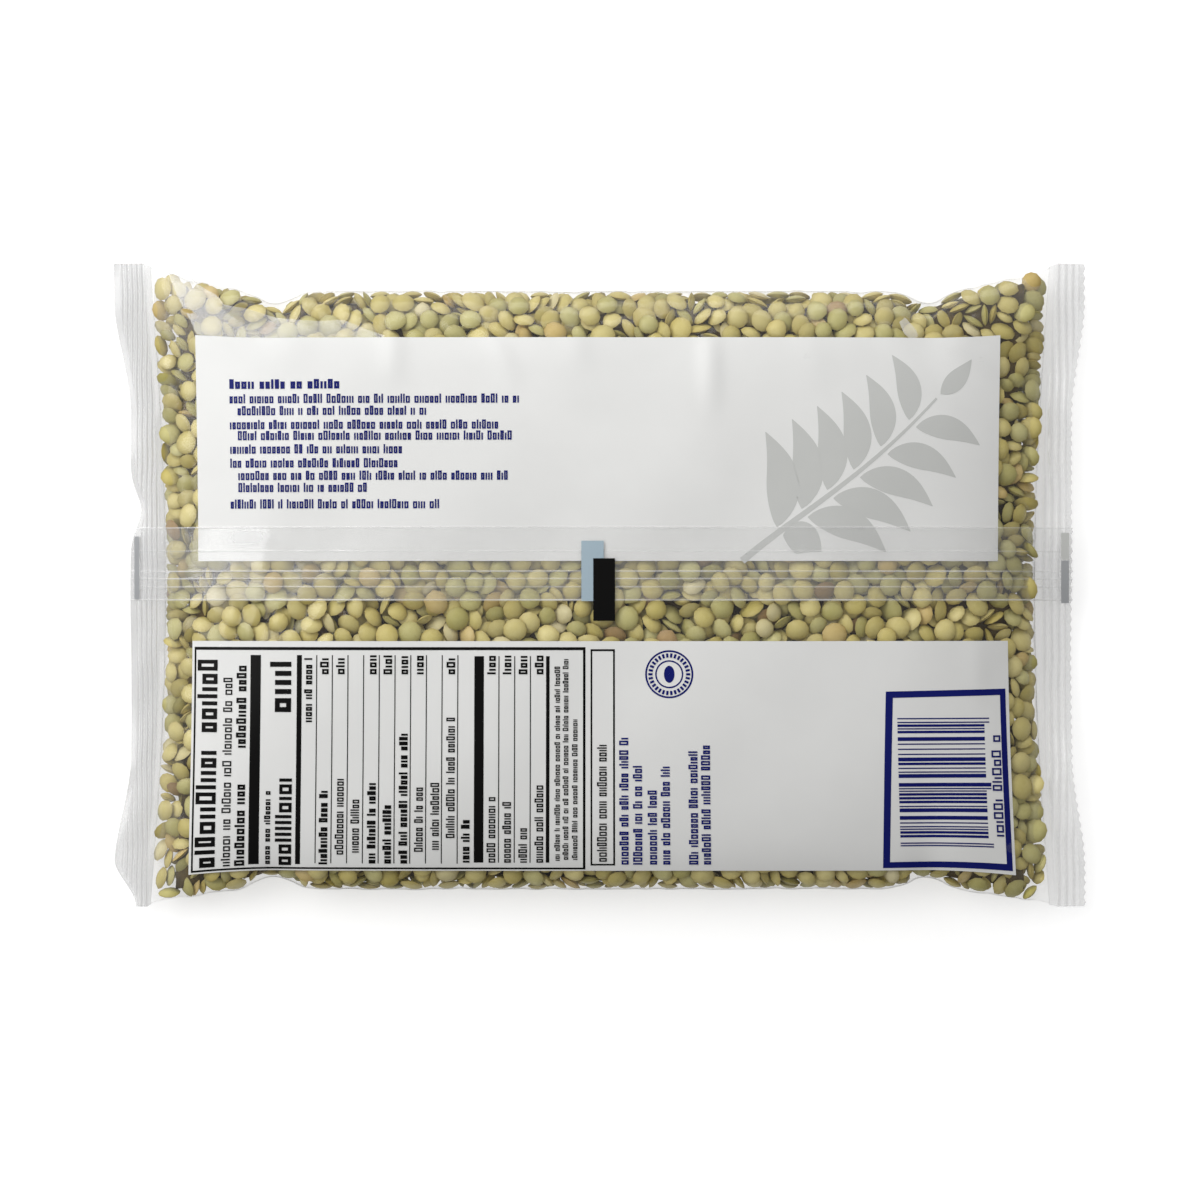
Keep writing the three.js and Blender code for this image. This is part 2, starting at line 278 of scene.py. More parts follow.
def grid_faces(rows, columns, wrap=False):
    """Quads that join the points of a rows by columns grid, going round in the columns if wrap is set."""
    i, j = np.meshgrid(np.arange(rows - 1), np.arange(columns if wrap else columns - 1), indexing="ij")
    k = (j + 1) % columns
    corners = [i * columns + j, (i + 1) * columns + j, (i + 1) * columns + k, i * columns + k]
    return np.stack(corners, axis=-1).reshape(-1, 4)


def closed_sheet(top, thickness):
    """A thin closed body: a grid of points, a copy of it lower by the thickness, and walls that join them."""
    rows, columns = top.shape[:2]
    count = rows * columns
    points = np.concatenate([top.reshape(-1, 3), top.reshape(-1, 3) - [0, 0, thickness]])
    upper = grid_faces(rows, columns)
    number = np.arange(count).reshape(rows, columns)
    rim = np.concatenate([number[:, 0], number[-1, 1:], number[-2::-1, -1], number[0, -2:0:-1]])
    after = np.roll(rim, -1)
    walls = np.stack([rim, rim + count, after + count, after], axis=-1)
    return points, np.concatenate([upper, upper[:, ::-1] + count, walls])


# %% [markdown]
# ## Finishes: a few small tools
#
# A finish is a small tree of shader nodes. These helpers keep each one short: one starts a material, one adds
# a node, sets its sockets and links what feeds it. Patterns read Object coordinates, so they stay with the
# bag.


# %% Node helpers
def new_material(name):
    """A material whose tree of nodes is still empty."""
    material = bpy.data.materials.new(name)
    material.use_nodes = True
    material.node_tree.nodes.clear()
    return material


def add_node(material, kind, inputs=None, **settings):
    """A shader node of one kind. Inputs hold numbers, colours or the sockets that feed them."""
    made = material.node_tree.nodes.new(kind)
    for name, value in settings.items():
        setattr(made, name, value)
    for socket, value in (inputs or {}).items():
        if isinstance(value, bpy.types.NodeSocket):
            material.node_tree.links.new(value, made.inputs[socket])
        else:
            made.inputs[socket].default_value = value
    return made


def finish_with(material, shader):
    """Links the last shader to the output, which completes the material."""
    add_node(material, "ShaderNodeOutputMaterial", {"Surface": shader})
    return material


def linear(red, green, blue):
    """A colour as a screen shows it, 0 to 255, turned into the linear light that shaders work in."""
    value = np.array([red, green, blue]) / 255
    made = np.where(value <= 0.04045, value / 12.92, ((value + 0.055) / 1.055) ** 2.4)
    return (*[float(v) for v in made], 1.0)


def object_noise(material, scale, detail=2.0, stretch=(1, 1, 1)):
    """Noise with so many blobs to a metre, read from the place on the object."""
    place = add_node(material, "ShaderNodeTexCoord").outputs["Object"]
    mapped = add_node(material, "ShaderNodeMapping", {"Vector": place, "Scale": stretch})
    inputs = {"Vector": mapped.outputs["Vector"], "Scale": scale, "Detail": detail}
    return add_node(material, "ShaderNodeTexNoise", inputs).outputs["Fac"]


def mix_colours(material, factor, first, second):
    """The first colour where the factor is 0 and the second where it is 1."""
    made = add_node(material, "ShaderNodeMix", {0: factor, 6: first, 7: second}, data_type="RGBA")
    return made.outputs[2]


def ramp(material, factor, stops):
    """A colour ramp through stops of a position and a colour."""
    made = add_node(material, "ShaderNodeValToRGB", {"Fac": factor})
    elements = made.color_ramp.elements
    while len(elements) < len(stops):
        elements.new(0.5)
    for element, (position, colour) in zip(elements, stops):
        element.position = position
        element.color = colour
    return made.outputs["Color"]


# %% [markdown]
# ## Packing the lentils
#
# Real lentils fall into the tube and settle against the film, with others wedged behind them. A rigid body
# simulation of thousands would take far too long, and scattering them at random lets them cross. Here the
# film is unrolled into a chart, and lentils are dropped on it from the inside, one by one. The chart keeps
# how deep it is filled at each cell. A new lentil tries a few places, takes the one where it comes closest to
# the film, and then shuffles sideways while that brings it closer still.

# %% Unroll the film into a chart
CELL = 0.6  # millimetres between two points of the chart


def unit(vectors):
    """Each vector divided by its length."""
    return vectors / np.maximum(np.linalg.norm(vectors, axis=-1, keepdims=True), 1e-9)


def even_steps(curve, parameter, spacing):
    """Parameter values at equal distances along a curve, which is given by many points."""
    length = np.concatenate([[0], np.cumsum(np.linalg.norm(np.diff(curve, axis=0), axis=1))])
    count = int(round(length[-1] / spacing)) + 1
    return np.interp(np.linspace(0, length[-1], count), length, parameter)


fine_along = np.sin(np.linspace(-np.pi / 2, np.pi / 2, 4001))
fine_angle = np.linspace(0, 2 * np.pi, 8001)
crown_line = film_points(fine_along, np.full_like(fine_along, np.pi / 2))
girth_line = film_points(np.zeros_like(fine_angle), fine_angle)


def chart(spacing):
    """The film's points on an even grid: one row for each step along the bag, one column round it."""
    along = even_steps(crown_line, fine_along, spacing)
    angle = even_steps(girth_line, fine_angle, spacing)[:-1]
    return film_points(along[:, None], angle[None, :]), along, angle


def chart_slopes(points):
    """The two directions of the chart's grid lines and the film's outward normal, at each cell."""
    down = np.gradient(points, axis=0)
    round_it = (np.roll(points, -1, axis=1) - np.roll(points, 1, axis=1)) / 2
    return down, round_it, unit(np.cross(down, round_it))


cells, cell_along, cell_angle = chart(CELL)
down, round_it, normals = chart_slopes(cells)
step_down = np.linalg.norm(down, axis=-1)
step_round = np.linalg.norm(round_it, axis=-1)
print("chart of", cells.shape[:2], "cells, girth", round(cells.shape[1] * CELL, 1), "mm")

# %% Where lentils would show
UPPER_PRINT_SPAN = {"left": -122.0, "right": 122.0, "low": 7.3, "high": 75.3}
LOWER_PRINT_SPAN = {"left": -125.0, "right": 125.0, "low": -87.1, "high": -17.0}
HIDDEN_MARGIN = 7.0  # a lentil further than this inside a panel's edge can't be seen
CORNER_X, FAR_CORNER_Y, NEAR_CORNER_Y = 112.0, 89.5, 92.0  # past these, film lies on film
LIES_FLAT = 0.5  # film lower than this lies on the table


def well_inside(points, span):
    """True for points on the bag's upper half that lie inside the span by more than the margin."""
    x, y, z = np.moveaxis(points, -1, 0)
    inside_x = (x > span["left"] + HIDDEN_MARGIN) & (x < span["right"] - HIDDEN_MARGIN)
    inside_y = (y > span["low"] + HIDDEN_MARGIN) & (y < span["high"] - HIDDEN_MARGIN)
    return inside_x & inside_y & (z > EQUATOR_Z)


hidden = well_inside(cells, UPPER_PRINT_SPAN) | well_inside(cells, LOWER_PRINT_SPAN)
underneath = (cells[..., 2] < LIES_FLAT) & ~hidden
beyond = (cells[..., 1] > FAR_CORNER_Y) | (cells[..., 1] < -NEAR_CORNER_Y)
corner = (np.abs(cells[..., 0]) > CORNER_X) & beyond
print("share of the film that lentils are packed behind:", round(1 - float(hidden.mean()), 3))

# %% An empty chart, and how the film bends on it
WINDOW = 9  # a lentil's patch of the chart reaches this many cells from its middle
BLOCKED = 50.0  # depth that stands for a place which is full from the start
SHARPEST_BEND = 0.24  # per millimetre: the film's bends are taken as no tighter than this
USUAL_DEPTH = 1.5  # of a lentil's middle. Round a bend, places this far inside the film lie closer together

rows, columns = cells.shape[:2]
filled = np.zeros((rows + 2 * WINDOW, columns))
filled[:WINDOW] = filled[-WINDOW:] = BLOCKED
offsets = np.arange(-WINDOW, WINDOW + 1)


def bend(second, step):
    """How fast the film falls away from its tangent plane: its second difference along the inward normal."""
    fall = -np.einsum("ijk,ijk->ij", second, normals) / np.maximum(step, 0.05) ** 2
    return np.clip(fall, 0, SHARPEST_BEND)


bend_down = bend(np.gradient(np.gradient(cells, axis=0), axis=0), step_down)
bend_round = bend(np.roll(cells, -1, axis=1) - 2 * cells + np.roll(cells, 1, axis=1), step_round)
inner_down = step_down * (1 - USUAL_DEPTH * bend_down)
inner_round = step_round * (1 - USUAL_DEPTH * bend_round)
print("cells on the chart:", rows * columns)


# %% Two faces of a leaning lentil over its patch of the chart
def patches(row, column, axis, radius, half):
    """For each try, the cells of its patch and the lentil's two faces over them, as heights from its middle.

    The lentil is an ellipsoid p' M p = 1, with M = (I - a a') / radius^2 + a a' / half^2 for its axis a. Over
    a cell that is a quadratic in the height, and its two roots are the two faces. The film's fall is added.
    """
    thin = 1 / half**2 - 1 / radius**2
    form = np.eye(3)[None] / radius**2 + axis[:, :, None] * axis[:, None, :] * thin
    i = row[:, None, None] + offsets[None, :, None]
    j = (column[:, None, None] + offsets[None, None, :]) % columns
    u = offsets[None, :, None] * inner_down[row, column][:, None, None]
    v = offsets[None, None, :] * inner_round[row, column][:, None, None]
    m = form[:, :, :, None, None]
    slope = m[:, 0, 2] * u + m[:, 1, 2] * v
    rest = m[:, 0, 0] * u * u + 2 * m[:, 0, 1] * u * v + m[:, 1, 1] * v * v - 1
    root = slope**2 - m[:, 2, 2] * rest
    spread = np.sqrt(np.maximum(root, 0)) / m[:, 2, 2]
    falls_down, falls_round = (field[row, column][:, None, None] for field in (bend_down, bend_round))
    fall = (falls_down * u * u + falls_round * v * v) / 2
    middle = fall - slope / m[:, 2, 2]
    return i + WINDOW, j, root, middle + spread, middle - spread


# %% How well a lentil would lie
SQUEEZE = 0.5  # dropped lentils may cross this far, and are pushed apart later
SNUG_RING = 0.45  # how far outside a lentil its neighbours are felt
SNUG_DEPTH = 2.5  # neighbours that fill the chart deeper than this count no more
SNUGNESS = 0.5  # how much such neighbours are worth, against lying close to the film


def lie(row, column, axis, radius, half):
    """Each try's depth, and its score: the depth less a reward for neighbours that lie close round it."""
    i, j, root, outer, _ = patches(row, column, axis, radius, half)
    taken = filled[i, j]
    depth = np.where(root > 0, np.maximum(taken - SQUEEZE, 0) + outer, -1).max(axis=(1, 2))
    ring = (root <= 0) & (root > -SNUG_RING / half**2)
    felt = (np.minimum(taken, SNUG_DEPTH) * ring).sum(axis=(1, 2))
    neighbours = felt / np.maximum(ring.sum(axis=(1, 2)), 1)
    return depth, depth - SNUGNESS * neighbours


def best_of(row, column, axis, radius, half):
    """The try with the lowest score: its place, its axis, its depth and the score."""
    depth, score = lie(row, column, axis, radius, half)
    pick = int(np.argmin(score))
    return row[pick], column[pick], axis[pick], depth[pick], score[pick]


# %% A random lentil
SEED = 11
random = np.random.default_rng(SEED)
RADIUS, RADIUS_SPREAD, LEAST_RADIUS, MOST_RADIUS = 3.5, 0.28, 2.8, 4.2
HALF_THICKNESS, THICKNESS_SPREAD, THINNEST, THICKEST = 1.25, 0.1, 1.0, 1.6
LIE_FLAT, LEAN_TOO = 0.2, 0.8  # shares of all lentils: those that lie flat, and those with the ones that lean
FLAT_SPREAD, LEAST_LEAN, USUAL_LEAN, MOST_LEAN = 0.2, 0.45, 0.95, 1.5  # radians


def lean():
    """The way a lentil faces: some lie nearly flat on the film, most lean, and a few stand on edge."""
    kind = random.random()
    if kind < LIE_FLAT:
        slant = abs(random.normal(0, FLAT_SPREAD))
    else:
        slant = random.uniform(LEAST_LEAN, USUAL_LEAN if kind < LEAN_TOO else MOST_LEAN)
    turn = random.uniform(0, 2 * np.pi)
    return np.array([np.sin(slant) * np.cos(turn), np.sin(slant) * np.sin(turn), np.cos(slant)])


# %% Drop the lentils on the chart
FILL_DEPTH, UNDERSIDE_DEPTH, DEEPEST = 4.9, 2.2, 8.5
MOST_TRIES = 8500
FIRST_TRIES, SHUFFLE_TRIES, SHUFFLES = 16, 16, 5
DRAWN = 5 * FIRST_TRIES  # more than are tried, since some fall on cells that are full
NUDGE = 0.03  # how far a lentil's axis may move in a shuffle
LEAST_STEP = 0.2  # cells smaller than this, at the bag's corners, get no lentil

goal = np.where(underneath, UNDERSIDE_DEPTH, FILL_DEPTH)
goal[hidden | corner | (step_down < LEAST_STEP) | (step_round < LEAST_STEP)] = -1
lentils = []
for _ in range(MOST_TRIES):
    row, column = np.divmod(random.integers(0, rows * columns, DRAWN), columns)
    wanted = filled[row + WINDOW, column] < goal[row, column]
    row, column = row[wanted][:FIRST_TRIES], column[wanted][:FIRST_TRIES]
    if len(row) == 0:
        break
    radius = np.clip(random.normal(RADIUS, RADIUS_SPREAD), LEAST_RADIUS, MOST_RADIUS)
    half = np.clip(random.normal(HALF_THICKNESS, THICKNESS_SPREAD), THINNEST, THICKEST)
    row, column, axis, depth, score = best_of(row, column, np.tile(lean(), (len(row), 1)), radius, half)
    for far in range(SHUFFLES, 0, -1):
        near_row = np.clip(row + random.integers(-far, far + 1, SHUFFLE_TRIES), 0, rows - 1)
        near_column = (column + random.integers(-far, far + 1, SHUFFLE_TRIES)) % columns
        near_axis = unit(axis + random.normal(0, NUDGE, (SHUFFLE_TRIES, 3)))
        shuffled = best_of(near_row, near_column, near_axis, radius, half)
        if shuffled[-1] < score:
            row, column, axis, depth, score = shuffled
    if depth > DEEPEST or goal[row, column] < 0:
        continue
    i, j, root, outer, inner = patches(np.array([row]), np.array([column]), axis[None], radius, half)
    i, j = np.broadcast_arrays(i, j)
    inside = root[0] > 0
    at = (i[0][inside], j[0][inside])
    filled[at] = np.maximum(filled[at], depth - inner[0][inside])
    lentils.append((row, column, depth, *axis, radius, half))

lentils = np.array(lentils)
open_share = float((filled[WINDOW:-WINDOW] < goal)[goal > 0].mean())
print(len(lentils), "lentils, middle one", round(float(np.median(lentils[:, 2])), 2), "mm behind the film")
print("share still open:", round(open_share, 3))

# %% [markdown]
# ## Letting them settle
#
# The chart is flat and the bag isn't, so near its rims and ends the dropped lentils cross. Real ones would
# push each other aside. Here each is an ellipsoid, and each pair that crosses is moved apart and turned by
# half of the crossing, over and over, while the film pushes all of them back in. A physics engine would do
# that too, but this takes half a minute.

# %% Places in space, and shapes
dropped_row, dropped_column = lentils[:, 0].astype(int), lentils[:, 1].astype(int)
radius, half = lentils[:, 6], lentils[:, 7]
outward = normals[dropped_row, dropped_column]
along_film = unit(down[dropped_row, dropped_column])
middle = cells[dropped_row, dropped_column] - outward * lentils[:, 2:3]
facing = unit(
    lentils[:, 3:4] * along_film + lentils[:, 4:5] * np.cross(outward, along_film) + lentils[:, 5:6] * outward
)
PAIR_REACH = 2 * RADIUS + 1.5  # lentils whose middles are further apart than this can't touch


def shapes_of(facing):
    """A = radius^2 (I - f f') + half^2 f f' for each lentil, which faces along f."""
    disc = np.eye(3) - facing[:, :, None] * facing[:, None, :]
    return half[:, None, None] ** 2 * np.eye(3) + (radius**2 - half**2)[:, None, None] * disc


def support(shape, way):
    """How far each shape reaches along its way, sqrt(w' A w), and the point of it that does."""
    point = np.einsum("kij,kj->ki", shape, way)
    far = np.sqrt(np.einsum("ki,ki->k", way, point))
    return far, point / far[:, None]


def close_pairs(middle):
    """Numbers of all pairs whose middles are nearer than two lentils' reach, by |a|^2 + |b|^2 - 2 a.b."""
    place = middle.astype(np.float32)
    square = (place**2).sum(axis=1)
    apart = square[:, None] + square[None, :] - 2 * place @ place.T
    return np.nonzero(np.triu(apart < PAIR_REACH**2, 1))


def gathered(number, vectors):
    """The sum of the vectors that belong to each lentil."""
    return np.stack([np.bincount(number, vectors[:, k], len(middle)) for k in range(3)], axis=-1)


# %% How a lentil feels the film
FEEL = 6  # cells to the furthest places round a lentil where it feels the film
FEELERS = [(i, j) for i in range(-FEEL, FEEL + 1, 3) for j in range(-FEEL, FEEL + 1, 3)]
FILM_CLEARANCE = 0.1


def room_at(middle):
    """The film's height above and below each lentil's middle, from the formulas."""
    x, y, _ = middle.T
    across = across_at(x, y)
    along = np.clip(x / root_x(across), -1, 1)
    return top_z(x, along, across), bottom_z(along, across)


def nearest_cell(middle, row, column):
    """The nearest cell, looked for in a window round the one that was nearest before."""
    step = np.arange(-2, 3)
    i = np.clip(row[:, None, None] + step[None, :, None], FEEL + 1, rows - FEEL - 2)
    j = (column[:, None, None] + step[None, None, :]) % columns
    i, j = (grid.reshape(len(row), -1) for grid in np.broadcast_arrays(i, j))
    pick = np.argmin(((cells[i, j] - middle[:, None]) ** 2).sum(axis=-1), axis=1)
    every = np.arange(len(row))
    return i[every, pick], j[every, pick]


def film_pushes(shape, row, column):
    """A push inwards by as far as each lentil reaches past the film at its worst place, and its twist."""
    worst, film_push, film_twist = np.zeros(len(middle)), np.zeros_like(middle), np.zeros_like(middle)
    for feel_row, feel_column in FEELERS:
        i, j = row + feel_row, (column + feel_column) % columns
        far, touch = support(shape, normals[i, j])
        out = far + FILM_CLEARANCE - ((cells[i, j] - middle) * normals[i, j]).sum(axis=1)
        worse = out > worst
        worst = np.where(worse, out, worst)
        push = -out[:, None] * normals[i, j]
        film_push = np.where(worse[:, None], push, film_push)
        film_twist = np.where(worse[:, None], np.cross(touch, push), film_twist)
    return film_push, film_twist


# %% How two lentils feel each other
ALLOWED = 0.2  # lentils are a little less than their ellipsoids, so these may cross by this much


def pair_pushes(shape, first, second):
    """How far each pair crosses, and for each lentil the sum of its pushes and of their twists.

    Two ellipsoids A and B at a distance d are furthest apart along about w = (A + B)^-1 d. They cross by the
    sum of their reaches along w less d.w, and each takes half of it.
    """
    away = middle[second] - middle[first]
    way = unit(np.linalg.solve(shape[first] + shape[second], away[..., None])[..., 0])
    first_far, first_touch = support(shape[first], way)
    second_far, second_touch = support(shape[second], way)
    press = first_far + second_far - (away * way).sum(axis=1) - ALLOWED
    on = press > 0
    push = press[on, None] / 2 * way[on]
    move = gathered(second[on], push) - gathered(first[on], push)
    first_twist = gathered(first[on], np.cross(first_touch[on], push))
    second_twist = gathered(second[on], np.cross(second_touch[on], push))
    return press, move, -first_twist - second_twist


# %% Push crossing lentils apart
SETTLE_TURNS, PAIRS_EVERY = 100, 10  # close pairs are looked for once in so many turns
EASE = 0.6  # share of each push that is made in one turn
PAIR_TURN, FILM_TURN = 0.5, 0.15  # and the same for turning: held by their neighbours, most keep their lean
PULL = 0.03  # every lentil is drawn to the film by this much in a turn
LEAST_ROOM, BACK_OFF = 4.8, 0.25  # where the bag is thinner than this, lentils back away from its end

near_row, near_column = dropped_row, dropped_column
for turn in range(SETTLE_TURNS):
    if turn % PAIRS_EVERY == 0:
        first, second = close_pairs(middle)
    shape = shapes_of(facing)
    press, move, twist = pair_pushes(shape, first, second)
    near_row, near_column = nearest_cell(middle, near_row, near_column)
    film_push, film_twist = film_pushes(shape, near_row, near_column)
    middle = middle + EASE * move + film_push + PULL * normals[near_row, near_column]
    middle[:, 2] = np.maximum(middle[:, 2], np.sqrt(shape[:, 2, 2]) + FILM_CLEARANCE)
    ceiling, ground = room_at(middle)
    middle[:, 0] -= np.where(ceiling - ground < LEAST_ROOM, BACK_OFF * np.sign(middle[:, 0]), 0)
    turn_by = (PAIR_TURN * twist + FILM_TURN * film_twist) / radius[:, None] ** 2
    facing = unit(facing + np.cross(turn_by, facing))
print("pairs that still cross by over 0.3 mm:", int((press > 0.3).sum()))

# %% Measure how far behind the film they lie
NOT_MET = 3.0  # depth that stands for a ray that meets no lentil


def gaps_behind_film():
    """For each lentil and each cell near it, how deep a ray along the film's inward normal w meets it.

    From a cell at s from the middle, the ray meets p' M p = 1 where a t^2 + 2 b t + c = 0, with a = w' M w,
    b = s' M w and c = s' M s - 1. And p' M q = p.q / radius^2 + (p.f)(q.f) (1 / half^2 - 1 / radius^2).
    """
    i = np.clip(near_row[:, None, None] + offsets[None, :, None], 0, rows - 1)
    j = (near_column[:, None, None] + offsets[None, None, :]) % columns
    i, j = np.broadcast_arrays(i, j)
    inward, start = -normals[i, j], cells[i, j] - middle[:, None, None]
    inward_facing = np.einsum("kijn,kn->kij", inward, facing)
    start_facing = np.einsum("kijn,kn->kij", start, facing)
    broad = 1 / radius[:, None, None] ** 2
    thin = 1 / half[:, None, None] ** 2 - broad
    a = broad + thin * inward_facing**2
    b = broad * (start * inward).sum(axis=-1) + thin * start_facing * inward_facing
    c = broad * (start**2).sum(axis=-1) + thin * start_facing**2 - 1
    root = b**2 - a * c
    return i, j, np.where(root > 0, (-b - np.sqrt(np.maximum(root, 0))) / a, NOT_MET)


met_row, met_column, gap = gaps_behind_film()
print("furthest that a lentil sticks out, mm:", round(float(-gap.min()), 2))

# %% Take out the lentils that found no room
MOST_OUT = 0.5  # a lentil may stick out this far, and the film bulges a little over it
ceiling, ground = room_at(middle)
in_bag = (middle[:, 2] < ceiling - half / 2) & (middle[:, 2] > ground + half / 2)
fits = (gap.min(axis=(1, 2)) > -MOST_OUT) & in_bag
film_gap = np.full((rows, columns), NOT_MET)
np.minimum.at(film_gap, (met_row[fits], met_column[fits]), gap[fits])
middle, facing, radius, half = middle[fits], facing[fits], radius[fits], half[fits]
print("taken out:", int((~fits).sum()), "and left:", len(middle))

# %% [markdown]
# ## The lentils
#
# A lentil is a lens: two shallow domes that meet in a blunt rim. Thousands of separate objects would be slow,
# and a sculpted lentil would repeat itself. So one template with few faces is bent a little differently for
# each lentil, by whole arrays, and all lentils of one colour are joined in one mesh.

# %% One lentil
LENTIL_SIDES = 11
RING_SHARES = np.array([0.5, 0.84, 1.0])  # radius of each ring of points
DOME_POWER = 0.78


def lentil_template():
    """Points of a unit lentil: a pole, rings at height (1 - r^2)^DOME_POWER, and the same below."""
    turn = 2 * np.pi * np.arange(LENTIL_SIDES) / LENTIL_SIDES
    share = np.concatenate([RING_SHARES, RING_SHARES[-2::-1]])
    height = (1 - share**2) ** DOME_POWER * np.array([1, 1, 0, -1, -1])
    ring_turn, ring_share = np.meshgrid(turn, share)
    rings = [ring_share * np.cos(ring_turn), ring_share * np.sin(ring_turn), height[:, None] + 0 * ring_turn]
    points = np.concatenate([[[0, 0, 1.0]], np.stack(rings, axis=-1).reshape(-1, 3), [[0, 0, -1.0]]])
    quads = grid_faces(len(share), LENTIL_SIDES, wrap=True) + 1
    middle = np.concatenate([quads[:, :3], quads[:, [0, 2, 3]]])
    here = 1 + np.arange(LENTIL_SIDES)
    after = np.roll(here, -1)
    last = (len(share) - 1) * LENTIL_SIDES
    top = np.stack([0 * here, here, after], axis=-1)
    bottom = np.stack([0 * here + len(points) - 1, after + last, here + last], axis=-1)
    return points, np.concatenate([top, middle, bottom])


unit_lentil, unit_faces = lentil_template()
unit_turn = np.arctan2(unit_lentil[:, 1], unit_lentil[:, 0])
unit_share = np.hypot(unit_lentil[:, 0], unit_lentil[:, 1])
print("faces of one lentil:", len(unit_faces))

# %% Many lentils, no two alike
RIM_WAVES = ((2, 0.045), (3, 0.022), (5, 0.012))  # how often each goes round the rim, and its strength
ANY_TURN = 6.3
LOWEST_DOME = 0.85


def lentil_points(chosen):
    """The template for each chosen lentil, with cosine waves round its rim, turned and moved to its place."""
    count = len(chosen)
    side = unit(np.cross(facing[chosen], random.normal(size=(count, 3))))
    axes = np.stack([side, np.cross(facing[chosen], side), facing[chosen]], axis=1)
    outline = np.zeros((count, len(unit_turn)))
    for wave, amount in RIM_WAVES:
        strength = random.normal(0, amount, (count, 1))
        outline += strength * np.cos(wave * unit_turn + random.uniform(0, ANY_TURN, (count, 1)))
    outline -= outline.max(axis=1, keepdims=True) - 1
    upper, lower = random.uniform(LOWEST_DOME, 1, (2, count, 1))
    x = unit_lentil[:, 0] * outline * radius[chosen, None]
    y = unit_lentil[:, 1] * outline * radius[chosen, None]
    z = unit_lentil[:, 2] * np.where(unit_lentil[:, 2] > 0, upper, lower) * half[chosen, None]
    return middle[chosen, None] + np.stack([x, y, z], axis=-1) @ axes


# %% [markdown]
# ## The lentils' skins
#
# Dry green lentils aren't one green. They go from grey green over khaki to straw, and a few are tan, cream or
# brown. The skin is matt with a weak sheen and fine mottling, and its rim is darkened by a painted shade,
# where lentils shade each other. Each colour is a finish of its own, and a random tone, stored on the points,
# makes one lentil lighter than the next.

# %% Finish of a lentil's skin
LENTIL_ROUGHNESS = 0.48
FINE_MOTTLING, COARSE_MOTTLING = 900, 320  # blobs to a metre
MOTTLED, RIM_SHADE = 0.5, 0.5  # how strongly the mottling and the painted rim shade show
RIM_SHADE_SHARES = (0.76, 0.71, 0.5)  # red, green and blue that the painted rim shade keeps of the darker colour


def maths(material, operation, *values, **settings):
    """One step of arithmetic on numbers or sockets."""
    inputs = dict(enumerate(values))
    return add_node(material, "ShaderNodeMath", inputs, operation=operation, **settings).outputs[0]


def lentil_skin(name, dark, light):
    """From dark to light by tone + MOTTLED * (fine + coarse - 1), and towards painted shade at the rim."""
    skin = new_material(name)
    tone = add_node(skin, "ShaderNodeAttribute", attribute_name="tone").outputs["Fac"]
    rim = add_node(skin, "ShaderNodeAttribute", attribute_name="rim").outputs["Fac"]
    fine = object_noise(skin, FINE_MOTTLING, 3)
    coarse = object_noise(skin, COARSE_MOTTLING, 1)
    mottled = maths(skin, "MULTIPLY_ADD", coarse, MOTTLED, maths(skin, "MULTIPLY_ADD", fine, MOTTLED, tone))
    stops = [(0.0, linear(*dark)), (1.0, linear(*light))]
    base = ramp(skin, maths(skin, "SUBTRACT", mottled, MOTTLED), stops)
    # Painted shade: towards the rim the skin turns to a darker copy of its colour, as where lentils shade
    # each other.
    rim_shade_colour = linear(*[share * value for share, value in zip(RIM_SHADE_SHARES, dark)])
    colour = mix_colours(skin, maths(skin, "MULTIPLY", rim, RIM_SHADE), base, rim_shade_colour)
    bump = add_node(skin, "ShaderNodeBump", {"Strength": 0.25, "Distance": 0.0002, "Height": fine})
    inputs = {"Base Color": colour, "Roughness": LENTIL_ROUGHNESS, "Normal": bump.outputs["Normal"]}
    return finish_with(skin, add_node(skin, "ShaderNodeBsdfPrincipled", inputs).outputs["BSDF"])


# %% Which lentil is of which kind
KINDS = (
    # name, share of all lentils, and the colours between which they vary
    ("lentils_green", 0.3, (182, 174, 100), (205, 198, 136)),
    ("lentils_khaki", 0.31, (195, 180, 98), (217, 204, 136)),
    ("lentils_straw", 0.29, (207, 191, 110), (227, 214, 148)),
    ("lentils_tan", 0.06, (206, 180, 108), (222, 200, 138)),
    ("lentils_pale", 0.03, (214, 203, 150), (230, 219, 174)),
    ("lentils_brown", 0.01, (158, 128, 78), (188, 156, 104)),
)
BROWN, TAN = 5, 3
ODD_ONES = (((-131.0, 16.8, 15.0), BROWN), ((-102.5, 2.1, 26.0), TAN))  # places of two that catch the eye
kind_of = random.choice(len(KINDS), len(middle), p=[kind[1] for kind in KINDS])
for place, number in ODD_ONES:
    kind_of[np.argmin(((middle - place) ** 2).sum(axis=1))] = number
print("lentils of each kind:", np.bincount(kind_of).tolist())


# %% One mesh for each kind
RIM_SHADE_POWER = 4  # the painted rim shade grows with this power of the distance from the pole


def paint(piece, name, values):
    """Stores one number for each point of a piece, for its finish to read."""
    attribute = piece.data.attributes.new(name, "FLOAT", "POINT")
    attribute.data.foreach_set("value", np.asarray(values, dtype=np.float32).ravel())


for number, (name, _, dark, light) in enumerate(KINDS):
    chosen = np.flatnonzero(kind_of == number)
    points = lentil_points(chosen)
    starts = len(unit_lentil) * np.arange(len(chosen))
    faces = (unit_faces[None] + starts[:, None, None]).reshape(-1, 3)
    skin = lentil_skin(name, dark, light)
    piece = add_piece(name, points.reshape(-1, 3), faces, skin, "green_lentils", "filled_bag")
    paint(piece, "tone", np.repeat(random.uniform(0, 1, len(chosen)), len(unit_lentil)))
    # how much painted shade each point of a lentil takes, growing towards its rim
    paint(piece, "rim", np.tile(unit_share**RIM_SHADE_POWER, len(chosen)))

# %% [markdown]
# ## The dark middle
#
# Between the front lentils the eye looks into shadow and sees more lentils, brown and out of focus. Filling
# the whole bag would take tens of thousands. A closed core a few millimetres behind the film, in the brown of
# that shadow, stops the view instead, and no light leaks through from the far side.

